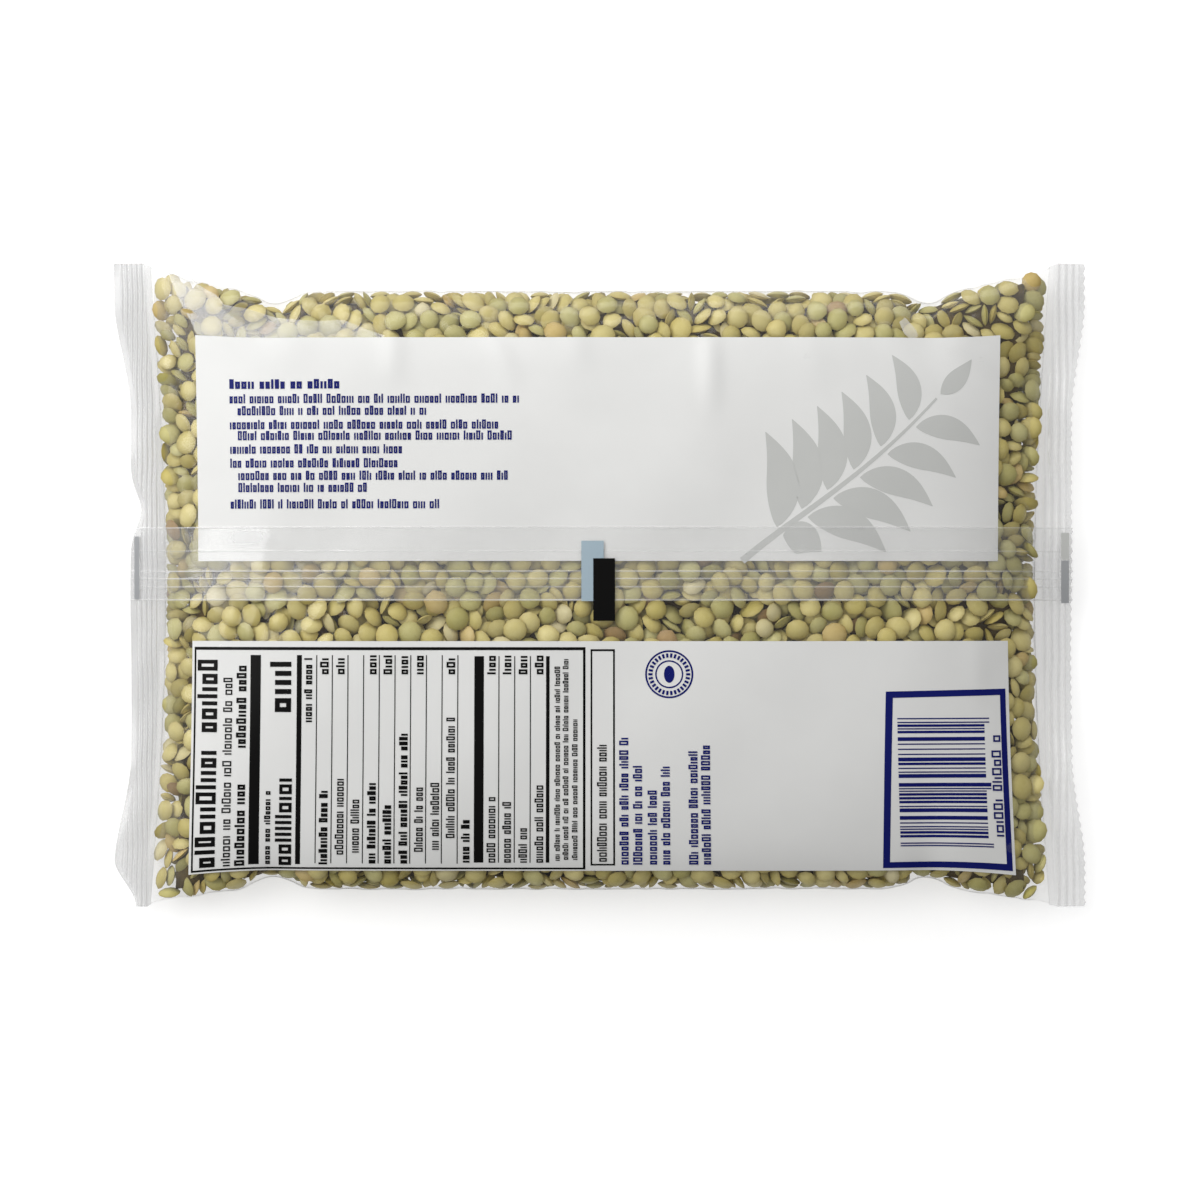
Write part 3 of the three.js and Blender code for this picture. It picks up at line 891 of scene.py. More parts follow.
# %% Tubes whose ends are closed
def closed_tube(points):
    """Faces for a tube whose columns go round it, with each end closed across its slit."""
    rows, columns = points.shape[:2]
    body = grid_faces(rows, columns, wrap=True)
    half = columns // 2
    near = np.arange(half)
    far = (columns - near) % columns
    far_after = columns - near - 1
    left = np.stack([near, near + 1, far_after, far], axis=-1)
    right = left[:, ::-1] + (rows - 1) * columns
    return np.concatenate([body, left, right])


def even_tube(spacing):
    """Places on an even grid, whose columns underneath mirror those on top so that the ends can close."""
    along = even_steps(crown_line, fine_along, spacing)
    top_angle = fine_angle[: len(fine_angle) // 2 + 1]
    angle = even_steps(girth_line[: len(top_angle)], top_angle, spacing)
    return along[:, None], np.concatenate([angle, 2 * np.pi - angle[-2:0:-1]])[None, :]


# %% A core behind the lentils
CORE_INSETS = np.array([5.0, 4.0, 6.2])  # along the bag, across it and up
CORE_LENGTH = 0.98  # share of the bag's length
CORE_SPACING = 4.0
CORE_BLOBS = 240  # to a metre, from the darker to the lighter brown
CORE_STOPS = [(0.35, linear(50, 39, 12)), (0.65, linear(92, 74, 26))]

core_along, core_angle = even_tube(CORE_SPACING)
core_shrink = 1 - CORE_INSETS / np.array([ROOT_MIDDLE, NEAR_REACH, CROWN_RISE])
core_middle = np.array([0, 0, EQUATOR_Z])
core_grid = core_middle + (film_points(CORE_LENGTH * core_along, core_angle) - core_middle) * core_shrink
core_skin = new_material("shaded_lentils")
core_colour = ramp(core_skin, object_noise(core_skin, CORE_BLOBS), CORE_STOPS)
core_shader = add_node(core_skin, "ShaderNodeBsdfPrincipled", {"Base Color": core_colour, "Roughness": 0.9})
finish_with(core_skin, core_shader.outputs["BSDF"])
core_faces = closed_tube(core_grid)
add_piece("shaded_core", core_grid.reshape(-1, 3), core_faces, core_skin, "green_lentils", "filled_bag")

# %% [markdown]
# ## The film's relief
#
# The film is pushed in and out by what it holds. Between lentils it dips a little, which the chart knows, and
# near the ends it gathers in creases. A cloth simulation could make such creases, but not the same ones each
# time or where the photo has them. So each crease is a ridge along a line, high in its middle and gone at its
# ends.

# %% Creases that everything on the film follows
CREASES = (
    # from x, y, to x, y, height, width
    (-128, 93, -104, 74, 0.9, 3.0),
    (-118, 95, -86, 78, 0.8, 3.4),
    (-108, 94, -60, 80, 0.5, 4.0),
    (128, 92, 106, 72, 0.8, 3.2),
    (116, 93, 92, 76, 0.7, 3.4),
    (-134, -92, -118, -86, 0.5, 2.6),
    (134, -92, 118, -86, 0.5, 2.6),
    (-99, 90, -97, 56, 1.5, 8.0),
    (-65, 88, -61, 58, 1.1, 3.6),
    (-38, 84, -22, 58, 0.9, 3.2),
    (-10, 86, -4, 62, 0.6, 4.0),
    (33, 88, 34, 46, 1.2, 3.4),
    (58, 86, 70, 56, 0.6, 4.5),
    (76, 84, 114, 48, 1.0, 4.0),
    (92, 86, 124, 62, 1.0, 3.0),
    (113, -10, 117, -40, 0.8, 4.0),
)


def creases(x, y):
    """The sum of ridges: each its height times a bell of the distance from its line, fading at both ends."""
    total = np.zeros(np.broadcast(x, y).shape)
    for from_x, from_y, to_x, to_y, height, width in CREASES:
        run = np.array([to_x - from_x, to_y - from_y])
        length = np.hypot(*run)
        part = ((x - from_x) * run[0] + (y - from_y) * run[1]) / length**2
        aside = ((x - from_x) * run[1] - (y - from_y) * run[0]) / length
        fade = np.sin(np.pi * np.clip(part, 0, 1)) ** 2
        total += height * bell(aside, width) * fade
    return total


print("creases at the middle of the broadest one, mm:", round(float(creases(-98.0, 73.0)), 2))

# %% How the film dips between lentils
MOST_DIP = 0.6  # the film follows a hollow between lentils no deeper than this
NARROWINGS, SMOOTHINGS = 2, 5


def smoothed(field, times):
    """Each cell becomes the weighted mean of itself and its neighbours, again and again."""
    for _ in range(times):
        field = (np.roll(field, 1, axis=1) + 2 * field + np.roll(field, -1, axis=1)) / 4
        field[1:-1] = (field[:-2] + 2 * field[1:-1] + field[2:]) / 4
    return field


def narrowed(field, times):
    """Each cell becomes the least of itself and its neighbours, so the film stays clear of the lentils."""
    for _ in range(times):
        field = np.minimum(field, np.minimum(np.roll(field, 1, axis=1), np.roll(field, -1, axis=1)))
        field[1:-1] = np.minimum(field[1:-1], np.minimum(field[:-2], field[2:]))
    return field


dip = np.minimum(film_gap - FILM_CLEARANCE, MOST_DIP)
dip[hidden] = 0
dip = smoothed(narrowed(dip, NARROWINGS), SMOOTHINGS)
print("deepest dip of the film between lentils, mm:", round(float(dip.max()), 2))


# %% The film over the contents
FILM_SPACING = 1.15


def from_chart(field, along, angle):
    """A chart's field between its cells, by the four nearest, going round in the columns."""
    row = np.interp(along, cell_along, np.arange(rows))
    column = np.interp(angle, np.append(cell_angle, 2 * np.pi), np.arange(columns + 1))
    i, j = np.minimum(row.astype(int), rows - 2), column.astype(int)
    s, t = row - i, column - j
    near = field[i, j % columns] * (1 - t) + field[i, (j + 1) % columns] * t
    far = field[i + 1, j % columns] * (1 - t) + field[i + 1, (j + 1) % columns] * t
    return near * (1 - s) + far * s


film_along, film_angle = even_tube(FILM_SPACING)
film_grid = film_points(film_along, film_angle)
film_normal = chart_slopes(film_grid)[2]
film_normal[[0, -1]] = 0
all_along, all_angle = np.broadcast_arrays(film_along, film_angle)
film_grid = film_grid - film_normal * from_chart(dip, all_along, all_angle)[..., None]
raised = creases(film_grid[..., 0], film_grid[..., 1]) * end_fullness(all_along)
film_grid[..., 2] += np.where(all_angle < np.pi, raised, 0)
print("points of the film:", film_grid[..., 0].size)

# %% [markdown]
# ## Clear film
#
# The film is polypropylene: clear, glossy, a twentieth of a millimetre thick. Glass settings would bend light
# and need many bounces for a sheet this thin. A clear shader mixed with a mirror does the same work: the
# mirror's share grows where the film is seen at a slant, as it does on any clear sheet. A little white haze
# lies over it, more where the film is creased or doubled, and the amount comes from a number on each point.
# Along the far side and in a few other places that haze is a painted reflection or a painted highlight.

# %% Finish of clear film
MIRROR = 0.04  # share of light that film mirrors when seen straight on; all of it at a grazing slant
SLANT_POWER = 5.0
CLOUD_BLOBS = 60  # to a metre: the haze is uneven by up to the share below
CLOUD_RANGE = {"From Min": 0.3, "From Max": 0.7, "To Min": 0.7, "To Max": 1.3}


def clear_film(name, tint=1.0, haze_colour=(250, 250, 250), roughness=0.16):
    """Film that lets the tint through, is hazed by milky * clouds, and mirrors a share of the light.

    The share is MIRROR + (1 - MIRROR) * slant^SLANT_POWER.
    """
    film = new_material(name)
    milky = add_node(film, "ShaderNodeAttribute", attribute_name="milky").outputs["Fac"]
    clouds = object_noise(film, CLOUD_BLOBS, 3, (1, 0.6, 1))
    clouded = add_node(film, "ShaderNodeMapRange", {"Value": clouds, **CLOUD_RANGE}).outputs[0]
    haze = maths(film, "MULTIPLY", milky, clouded, use_clamp=True)
    clear = add_node(film, "ShaderNodeBsdfTransparent", {"Color": (tint, tint, tint, 1)}).outputs[0]
    white = add_node(film, "ShaderNodeBsdfDiffuse", {"Color": linear(*haze_colour)}).outputs[0]
    body = add_node(film, "ShaderNodeMixShader", {0: haze, 1: clear, 2: white}).outputs[0]
    gloss = add_node(film, "ShaderNodeBsdfGlossy", {"Color": (1, 1, 1, 1), "Roughness": roughness}).outputs[0]
    slant = add_node(film, "ShaderNodeLayerWeight", {"Blend": 0.5}).outputs["Facing"]
    share = maths(film, "MULTIPLY_ADD", maths(film, "POWER", slant, SLANT_POWER), 1 - MIRROR, MIRROR)
    mixed = add_node(film, "ShaderNodeMixShader", {0: share, 1: body, 2: gloss}).outputs[0]
    return finish_with(film, mixed)


# %% The tube of film, a little milky at its ends, with a painted reflection along its far side
BASE_HAZE, LEFT_HAZE, RIGHT_HAZE, END_HAZE_REACH = 0.005, 0.07, 0.03, 6.0
# Along the far side, where the film curves down and mirrors the far light, the haze is a painted reflection.
FAR_REFLECTION, FAR_REFLECTION_START, FAR_REFLECTION_END = 0.05, 72, 92
film_tube = (film_grid.reshape(-1, 3), closed_tube(film_grid))
film_piece = add_piece("film_tube", *film_tube, clear_film("clear_film"), "clear_film", "filled_bag")
end_distance = np.maximum(ROOT_MIDDLE - np.abs(film_grid[..., 0]), 0)
end_haze = np.where(film_grid[..., 0] < 0, LEFT_HAZE, RIGHT_HAZE) * bell(end_distance, END_HAZE_REACH)
# painted reflection: white haze that grows towards the far rim
far_reflection = FAR_REFLECTION * smoothstep(FAR_REFLECTION_START, FAR_REFLECTION_END, film_grid[..., 1])
paint(film_piece, "milky", BASE_HAZE + end_haze + far_reflection)

# %% [markdown]
# ## Sealed ends
#
# At each end two films are pressed together between hot ribbed jaws. The jaws leave ridges along the seal,
# the film turns from clear to milky there, and a toothed knife cuts the right end. Each seal is one thin
# sheet: a grid that runs from the contents to the cut edge, lifted by a wave across the ridges. Bump alone
# would leave its edge straight. The look is the film's finish again, with more haze.

# %% The form of a seal
SEAL_ROWS, SEAL_COLUMNS = 420, 76
TOOTH_PITCH, TOOTH_DEPTH = 3.0, 0.7
TOOTH_POWER = 8  # the teeth fade inwards from the cut with this power
RIDGE_HEIGHT, RIDGE_START, RIDGE_END, RIDGE_FADE = 0.18, 0.16, 0.86, 0.06
RIDGE_WANDER = ((0.12, 41, 1), (0.08, 17, 0))  # height, length and phase of each wave that bends the ridges
RIPPLE_HEIGHT, RIPPLE_LENGTH, RIPPLE_LEAN = 0.25, 23, 4
RIDGE_MILK = 0.55  # how much whiter the film is on a ridge, as a share of what the jaws add
MILK_START, MILK_END = 0.1, 0.3


def seal_grid(side, cut, ridge_pitch, teeth):
    """Rows from rim to rim, columns from the contents to the cut, and how hard each point was pressed."""
    share = np.linspace(0, 1, SEAL_COLUMNS)[None, :]
    across = np.sin(np.linspace(-np.pi / 2, np.pi / 2, SEAL_ROWS))[:, None]
    root = root_x(across)
    y = y_at(root * (1 - share) + CUT_CORNER * share, across)
    saw = np.abs((y / TOOTH_PITCH) % 1 - 0.5) * 2 * share**TOOTH_POWER
    x = root + (cut(y) - teeth * TOOTH_DEPTH * saw - root) * share
    starts = smoothstep(RIDGE_START, RIDGE_START + RIDGE_FADE, share)
    ridges = starts * (1 - smoothstep(RIDGE_END - RIDGE_FADE, RIDGE_END, share))
    wave = ridges * np.cos(2 * np.pi * (x + wave_sum(RIDGE_WANDER, y)) / ridge_pitch)
    ripple = RIPPLE_HEIGHT * np.sin(2 * np.pi * y / RIPPLE_LENGTH + RIPPLE_LEAN * share) * share
    z = seal_z(side, share, y) + RIDGE_HEIGHT * wave + ripple
    grid = np.stack([side * x, y + 0 * x, z], axis=-1)
    pressed = smoothstep(MILK_START, MILK_END, share) + RIDGE_MILK * wave
    return (grid, pressed) if side > 0 else (grid[::-1], pressed[::-1])


# %% The two seals
SEAL_FILM, SEAL_ROUGHNESS = 0.25, 0.2  # two films with the air between them
# The right seal lets more through, with a whiter, thinner haze than the left: painted light that lightens the
# end the near light reaches least.
SEALS = (
    # name, side, cut edge, pitch of the ridges, teeth, tint, colour of the haze, haze, and more where pressed
    ("left_seal", -1, left_cut, 1.55, 0, 0.87, (234, 234, 234), 0.12, 0.2),
    ("right_seal", 1, right_cut, 2.27, 1, 0.95, (246, 246, 246), 0.07, 0.13),
)
for name, side, cut, ridge_pitch, teeth, tint, haze_colour, milk, more_milk in SEALS:
    grid, pressed = seal_grid(side, cut, ridge_pitch, teeth)
    points, faces = closed_sheet(grid.transpose(1, 0, 2), SEAL_FILM)
    seal_skin = clear_film(name, tint, haze_colour, SEAL_ROUGHNESS)
    piece = add_piece(name, points, faces, seal_skin, "clear_film", "filled_bag")
    paint(piece, "milky", np.tile((milk + more_milk * pressed.T).ravel(), 2))

# %% [markdown]
# ## Things that lie on the film
#
# Print is made on flat film, before the bag is filled. Filling bulges the tube and draws its middle in, so a
# printed field ends up a little narrower halfway across than at the long edges. The next helper does that: it
# takes a place on flat film to the filled bag, and lifts it along the film's normal by a given height.

# %% From flat film to the filled bag
LEFT_BARREL, FAR_RIGHT_BARREL, NEAR_RIGHT_BARREL = 0.014, 0.012, 0.026  # how much each part was drawn in
SLOPE_STEP = 0.4  # millimetres to either side, over which the film's slope is measured


def crease_height(x, y):
    """The film's height with its creases, which fade towards the ends."""
    return height_over(x, y) + creases(x, y) * end_fullness(np.clip(np.abs(x) / ROOT_MIDDLE, 0, 1))


def over_film(flat_x, flat_y, lift):
    """x grows by barrel * (flat_y / reach)^2 and y by the flare. The lift goes along the film's normal."""
    barrel = np.where(flat_x < 0, LEFT_BARREL, np.where(flat_y > 0, FAR_RIGHT_BARREL, NEAR_RIGHT_BARREL))
    x = flat_x * (1 + barrel * (flat_y / FAR_REACH) ** 2)
    across = np.clip(flat_y / reach(flat_y), -1, 1)
    y = flat_y + np.sign(flat_y) * np.abs(across) ** RIM_POWER * flare(x, across)
    rise_x = crease_height(x + SLOPE_STEP, y) - crease_height(x - SLOPE_STEP, y)
    rise_y = crease_height(x, y + SLOPE_STEP) - crease_height(x, y - SLOPE_STEP)
    normal = unit(np.stack([-rise_x, -rise_y, 2 * SLOPE_STEP * np.ones_like(rise_x)], axis=-1))
    return np.stack([x, y, crease_height(x, y)], axis=-1) + normal * lift


# %% Pixels of the photograph to flat film
PIXEL, PIXEL_DEEP = 0.3030, 0.3035  # millimetres a pixel along the bag's crown, and down its slopes
PHOTO_MIDDLE = 600  # the photograph is 1200 pixels wide and high
CAMERA_Y = -4.6  # the camera is over this place, in millimetres


def flat(pixel_x, pixel_y):
    """Millimetres from the bag's middle, by the distance in pixels from the photograph's middle."""
    right, up = np.asarray(pixel_x) - PHOTO_MIDDLE, PHOTO_MIDDLE - np.asarray(pixel_y)
    return right * PIXEL, CAMERA_Y + up * PIXEL_DEEP


def rectangle(left, top, right, bottom, step=5.0):
    """A grid of flat places over a rectangle of the photograph, with steps of about so many pixels."""
    columns = max(2, int(np.ceil((right - left) / step)) + 1)
    rows = max(2, int(np.ceil((bottom - top) / step)) + 1)
    x, y = np.meshgrid(np.linspace(left, right, columns), np.linspace(bottom, top, rows))
    return np.stack(flat(x, y), axis=-1)


def skins(grids, lift, thickness):
    """Thin closed sheets over the film, one for each grid of flat places, joined in one array."""
    all_points, all_faces, count = [], [], 0
    for grid in grids:
        top = over_film(grid[..., 0], grid[..., 1], lift + thickness)
        points, faces = closed_sheet(top.transpose(1, 0, 2), thickness)
        all_points.append(points)
        all_faces.append(faces + count)
        count += len(points)
    return np.concatenate(all_points), np.concatenate(all_faces)


print("the photograph's left edge is at", round(float(flat(0, 0)[0]), 1), "mm on flat film")

# %% [markdown]
# ## Painted reflections on the film
#
# Near the upper left corner the film mirrors the near light and turns the lentils milky, and near the upper
# right one it throws a small glint. Both are painted reflections, in white haze over the lentils. Painting
# that on the film's coarse points would blur it. A thin sheet of its own has a crisp edge, and is laid out
# between two lines of places, one along its upper edge and one along its lower edge.

# %% Painted reflections over the lentils
GLARE_LIFT, GLARE_THICKNESS = 0.03, 0.03
GLARE_ROWS = 14
GLARE_PATCHES = (
    # painted reflection's haze at the left and at the right end, then pairs of places in pixels: x, y above
    # and x, y below
    (0.17, 0.15, ((171, 285, 170, 291), (188, 284, 178, 305), (198, 291, 190, 322), (218, 298, 197, 336))),
    (0.15, 0.13, ((218, 298, 197, 336), (226, 306, 215, 338), (250, 308, 245, 338), (280, 317, 275, 338))),
    (0.13, 0.1, ((280, 317, 275, 338), (318, 320, 312, 338), (345, 319, 342, 338))),
    (0.1, 0.07, ((345, 319, 342, 338), (366, 328, 364, 338), (386, 335, 386, 338))),
    (0.3, 0.2, ((898, 321, 900, 326), (904, 316, 903, 333), (915, 329, 908, 337), (917, 335, 914, 338))),
)


def glare_grid(pairs, step=1.5):
    """A grid of flat places between an upper and a lower line, each straight from one place to the next."""
    ends = np.array(pairs, dtype=float)
    columns = int(np.hypot(*(ends[-1] - ends[0])[:2]) / step) + 2
    part = np.linspace(0, len(ends) - 1, columns)
    upper_x, upper_y, lower_x, lower_y = (np.interp(part, np.arange(len(ends)), ends[:, k]) for k in range(4))
    share = np.linspace(0, 1, GLARE_ROWS)[:, None]
    x = lower_x * (1 - share) + upper_x * share
    y = lower_y * (1 - share) + upper_y * share
    return np.stack(flat(x, y), axis=-1)


glare_grids = [glare_grid(pairs) for _, _, pairs in GLARE_PATCHES]
points, faces = skins(glare_grids, GLARE_LIFT, GLARE_THICKNESS)
# Thin hazy sheets: a painted reflection at the upper left and a painted glint at the upper right.
glare_piece = add_piece("painted_glare_film", points, faces, clear_film("painted_glare_film"), "clear_film")
glare_milk = [
    np.tile(np.broadcast_to(np.linspace(start, end, grid.shape[1])[:, None], grid.shape[1::-1]).ravel(), 2)
    for (start, end, _), grid in zip(GLARE_PATCHES, glare_grids)
]
paint(glare_piece, "milky", np.concatenate(glare_milk))

# %% [markdown]
# ## The white printed fields
#
# Behind the words the film carries a flat field of opaque white ink, so these areas hide the lentils. It's
# nearly as glossy as the clear film but scatters light. A painted mask on the film would blur at its edge. A
# skin of its own, a tenth of a millimetre over the film, keeps the edge sharp, and it follows every crease.

# %% Finish of ink on film
DRIFT_BLOBS, GRAIN_BLOBS = 35, 700  # to a metre


def ink(name, colour, shade, roughness=0.16, mirror=0.5):
    """Ink drifts a little between a colour and a shade of it, and the gloss film over it is the coat."""
    made = new_material(name)
    drift = object_noise(made, DRIFT_BLOBS, 3)
    fine = object_noise(made, GRAIN_BLOBS, 2)
    base = ramp(made, drift, [(0.3, linear(*shade)), (0.7, linear(*colour))])
    bump = add_node(made, "ShaderNodeBump", {"Strength": 0.05, "Distance": 0.0002, "Height": fine})
    inputs = {
        "Base Color": base,
        "Roughness": roughness,
        "Specular IOR Level": mirror,
        "Normal": bump.outputs["Normal"],
    }
    return finish_with(made, add_node(made, "ShaderNodeBsdfPrincipled", inputs).outputs["BSDF"])


# %% The upper and the lower field
INK_LIFT, INK_THICKNESS = 0.08, 0.06
FIELDS = (
    # name, node that it stands for, and left, top, right and bottom in the photograph's pixels
    ("upper_field", "upper_panel", (196, 337, 1000, 561)),
    ("lower_field", "lower_panel", (190, 641, 1010, 871.5)),
)
white_ink = ink("white_ink", (238, 238, 236), (233, 233, 231), 0.3, 0.2)
for name, node, field in FIELDS:
    points, faces = skins([rectangle(*field, step=4.5)], INK_LIFT, INK_THICKNESS)
    add_piece(name, points, faces, white_ink, "white_print", node)

# %% [markdown]
# ## Words as bars
#
# Small print is made of boxes and strokes. They stand in rows, one row for each word, and from a hand's
# length away they have the grey of small print. Which is where is a random draw, so no line says anything.
# Setting type with a font would be heavier, and no better to look at from there.

# %% Boxes and strokes that stand for words
STROKE_CHANCE = 0.4  # letters that are one upright stroke; the others are hollow boxes
TALL_CHANCE = 0.3  # letters that rise above the others
LOW_HEIGHT = 0.76  # height of the others
GAP_SHARE, SPACE_SHARE = 0.24, 0.75  # gaps between letters and between words, as shares of a letter's pitch
BOX_WIDTHS = (0.9, 1.15)  # how the boxes vary
SPARE = 1.6  # more letters are drawn than fit, since strokes are narrow
WORD_LENGTHS = (2, 9)  # letters in a word: at least the first, fewer than the second
ONE_WORD = (90, 91)  # more letters than any line has, so it isn't broken


def word_line(start, end, height, pitch, pen, lengths):
    """Bars that make a line of words: for each bar its start, its end, its foot and its head.

    A letter is a stroke as wide as the pen, or a box of four such strokes. All are drawn at once: random
    numbers choose each letter's form and width, and running sums of the widths place it.
    """
    count = int((end - start) / pitch * SPARE) + 4
    stroke = random.random(count) < STROKE_CHANCE
    tall = random.random(count) < TALL_CHANCE
    ends_word = np.isin(np.arange(count), np.cumsum(random.integers(*lengths, count)))
    width = np.where(stroke, pen, pitch * (1 - GAP_SHARE) * random.uniform(*BOX_WIDTHS, count))
    step = width + pitch * GAP_SHARE + np.where(ends_word, SPACE_SHARE * pitch, 0)
    left = start + np.concatenate([[0], np.cumsum(step)[:-1]])
    keep = left + width <= end
    left, width, stroke, tall = left[keep], width[keep], stroke[keep], tall[keep]
    head = np.where(tall, height, LOW_HEIGHT * height)
    first = np.stack([left, left + np.minimum(pen, width), 0 * head, head], axis=-1)
    last = np.stack([left + width - pen, left + width, 0 * head, head], axis=-1)
    base = np.stack([left + pen, left + width - pen, 0 * head, 0 * head + pen], axis=-1)
    top = np.stack([left + pen, left + width - pen, head - pen, head], axis=-1)
    return np.concatenate([first, last[~stroke], base[~stroke], top[~stroke]])


# %% From bars to boxes on the film
STROKE_LIFT = 0.24  # a long straight box over the bag's curve would sink into the white ink if it lay lower
PRINT_THICKNESS = 0.04


def stroke_boxes(corners):
    """Closed flat boxes over the film, one for each set of four corners, in pixels as an array n, 4, 2."""
    x, y = flat(corners[..., 0], corners[..., 1])
    top = over_film(x, y, STROKE_LIFT + PRINT_THICKNESS)
    points = np.concatenate([top, top - [0, 0, PRINT_THICKNESS]], axis=1)
    sides = np.array([[0, 1, 2, 3], [7, 6, 5, 4], [0, 4, 5, 1], [1, 5, 6, 2], [2, 6, 7, 3], [3, 7, 4, 0]])
    faces = sides[None] + 8 * np.arange(len(corners))[:, None, None]
    return points.reshape(-1, 3), faces.reshape(-1, 4)


def level_words(left, right, base, height, pitch, pen):
    """The corners of the bars of a line that runs from left to right, on a base line at a pixel row."""
    start, end, foot, head = word_line(left, right, height, pitch, pen, WORD_LENGTHS).T
    x = np.stack([start, end, end, start], axis=-1)
    y = base - np.stack([foot, foot, head, head], axis=-1)
    return np.stack([x, y], axis=-1)


def rising_words(foot_y, head_y, base, height, pitch, pen, lengths=WORD_LENGTHS):
    """The same for a line that runs up the photograph, with its letters' heads to the left."""
    start, end, foot, head = word_line(-foot_y, -head_y, height, pitch, pen, lengths).T
    y = -np.stack([start, end, end, start], axis=-1)
    x = base - np.stack([foot, foot, head, head], axis=-1)
    return np.stack([x, y], axis=-1)


# %% Lines on the upper field
HEADING, HEADING_LETTERS = (230, 343, 388.5), (9.6, 5.9, 2.3)  # left, right, base line; height, pitch, pen
LEVEL_LETTERS = (9.2, 4.7, 1.5)
LEVEL_LINES = (
    # left, right, base line
    (230, 520, 403),
    (238, 428, 415),
    (230, 503, 429),
    (238, 513, 440),
    (230, 403, 453.5),
    (230, 398, 467.5),
    (238, 510, 480),
    (238, 368, 492),
    (230, 442, 508.5),
)
blue_strokes = [level_words(*HEADING, *HEADING_LETTERS)]
blue_strokes += [level_words(*line, *LEVEL_LETTERS) for line in LEVEL_LINES]

# %% Lines on the lower field
RISING_FOOT, RISING_LETTERS = 865, (9.0, 5.2, 1.6)
RISING_LINES = (  # head and base line
    (735, 628),
    (765, 641.5),
    (790, 656),
    (765, 669),
    (745, 696.5),
    (745, 709),
)
blue_ink = ink("blue_ink", (16, 26, 110), (12, 20, 98), 0.3, 0.12)
blue_strokes += [rising_words(RISING_FOOT, *line, *RISING_LETTERS) for line in RISING_LINES]
add_piece("blue_words", *stroke_boxes(np.concatenate(blue_strokes)), blue_ink, "blue_print")

# %% [markdown]
# ## The table
#
# The table is a frame with rules and bars in it, turned so that it reads up the bag. The rules stand at an
# even pitch. They could be stretched boxes, but a long bar has to bend with the bag, so each is a skin of its
# own on the film. Words are strokes again, larger and heavier in the title and the big figure.

# %% Frame, rules and bars of the table
PRINT_LIFT = 0.16
TABLE_LEFT, TABLE_RIGHT, TABLE_TOP, TABLE_BOTTOM = 193.5, 585.5, 648.5, 869.0
RULE_PITCH, RULE_HALF = 15.69, 0.5
FIRST_RULE, LATER_RULE = 317, 499.2  # where each of the two groups of rules starts
black_bars = [
    # left, top, right and bottom: the frame, the four heavy bars, and the narrow frame beside the table
    (TABLE_LEFT - 1, TABLE_TOP - 1.5, TABLE_RIGHT, TABLE_TOP + 1.5),
    (TABLE_LEFT - 1, TABLE_BOTTOM - 0.9, TABLE_RIGHT, TABLE_BOTTOM + 0.9),
    (TABLE_LEFT - 1, TABLE_TOP + 1.5, TABLE_LEFT + 0.8, TABLE_BOTTOM - 0.9),
    (TABLE_RIGHT - 2.5, TABLE_TOP + 1.5, TABLE_RIGHT, TABLE_BOTTOM - 0.9),
    (250, 655, 260.5, 865),
    (297, 655, 302, 865),
    (474.7, 656, 484.2, 863),
    (546.2, 656, 549.7, 863),
    (590.6, 649, 592.3, 866),
    (613, 649, 614.8, 866),
    (592.3, 649, 613, 651),
    (592.3, 864.3, 613, 866),
]
rules = [(FIRST_RULE + RULE_PITCH * number, 655, 864) for number in range(10)]
rules += [(LATER_RULE + RULE_PITCH * number, 656, 863) for number in range(3)]
black_bars += [(middle_x - RULE_HALF, top, middle_x + RULE_HALF, bottom) for middle_x, top, bottom in rules]
black_ink = ink("black_ink", (13, 12, 11), (8, 8, 8), 0.25, 0.1)
bar_grids = [rectangle(*bar, step=9) for bar in black_bars]
add_piece("table_lines", *skins(bar_grids, PRINT_LIFT, PRINT_THICKNESS), black_ink, "black_print")

# %% Words of the table
LARGE_WORDS = (
    # base line, foot, head, height, pitch of the letters, width of the pen; the same for the small words
    (216.4, 866, 744, 20.5, 13.4, 3.9),
    (216.4, 732.6, 653, 20.5, 13.4, 3.9),
    (293, 866, 776, 16.5, 11.4, 3.2),
    (291.4, 712, 655, 21.5, 17.0, 5.0),
)
SMALL_WORDS = (
    (231.7, 866, 675, 9.2, 6.4, 1.4),
    (246, 866, 782, 10.0, 6.6, 2.2),
    (246, 748, 655, 10.0, 6.6, 2.2),
    (271.6, 865, 790, 6.1, 4.6, 1.5),
    (312.5, 722, 656, 8.0, 5.0, 1.7),
    (560, 861, 662, 5.4, 3.5, 0.95),
    (568.4, 860, 657, 5.6, 3.5, 0.95),
    (577.5, 860, 718, 5.4, 3.5, 0.95),
    (606.6, 862, 744, 9.6, 5.2, 1.3),
)
LIGHT, HEAVY = 1.35, 2.0  # widths of the pen
ROW_WORDS = (
    # base line, foot, head, width of the pen, and whether a value stands at the other end
    (329, 865, 789, HEAVY, True),
    (345, 855, 777, LIGHT, True),
    (360.5, 853, 798, LIGHT, False),
    (377, 864, 779, HEAVY, True),
    (392.5, 864, 805, HEAVY, True),
    (408.5, 864, 733, HEAVY, True),
    (424, 852, 780, LIGHT, True),
    (440, 850, 781, LIGHT, False),
    (455.5, 838, 715, LIGHT, True),
    (470.5, 863, 813, HEAVY, False),
    (496, 863, 794, LIGHT, True),
    (511.5, 863, 801, LIGHT, True),
    (527.5, 863, 828, LIGHT, True),
    (543.5, 863, 783, LIGHT, True),
)
ROW_HEIGHT, ROW_PITCH = 8.6, 5.0
VALUE_FOOT, VALUE_HEAD, VALUE_PITCH, VALUE_PEN = 674, 655, 6.6, 1.9

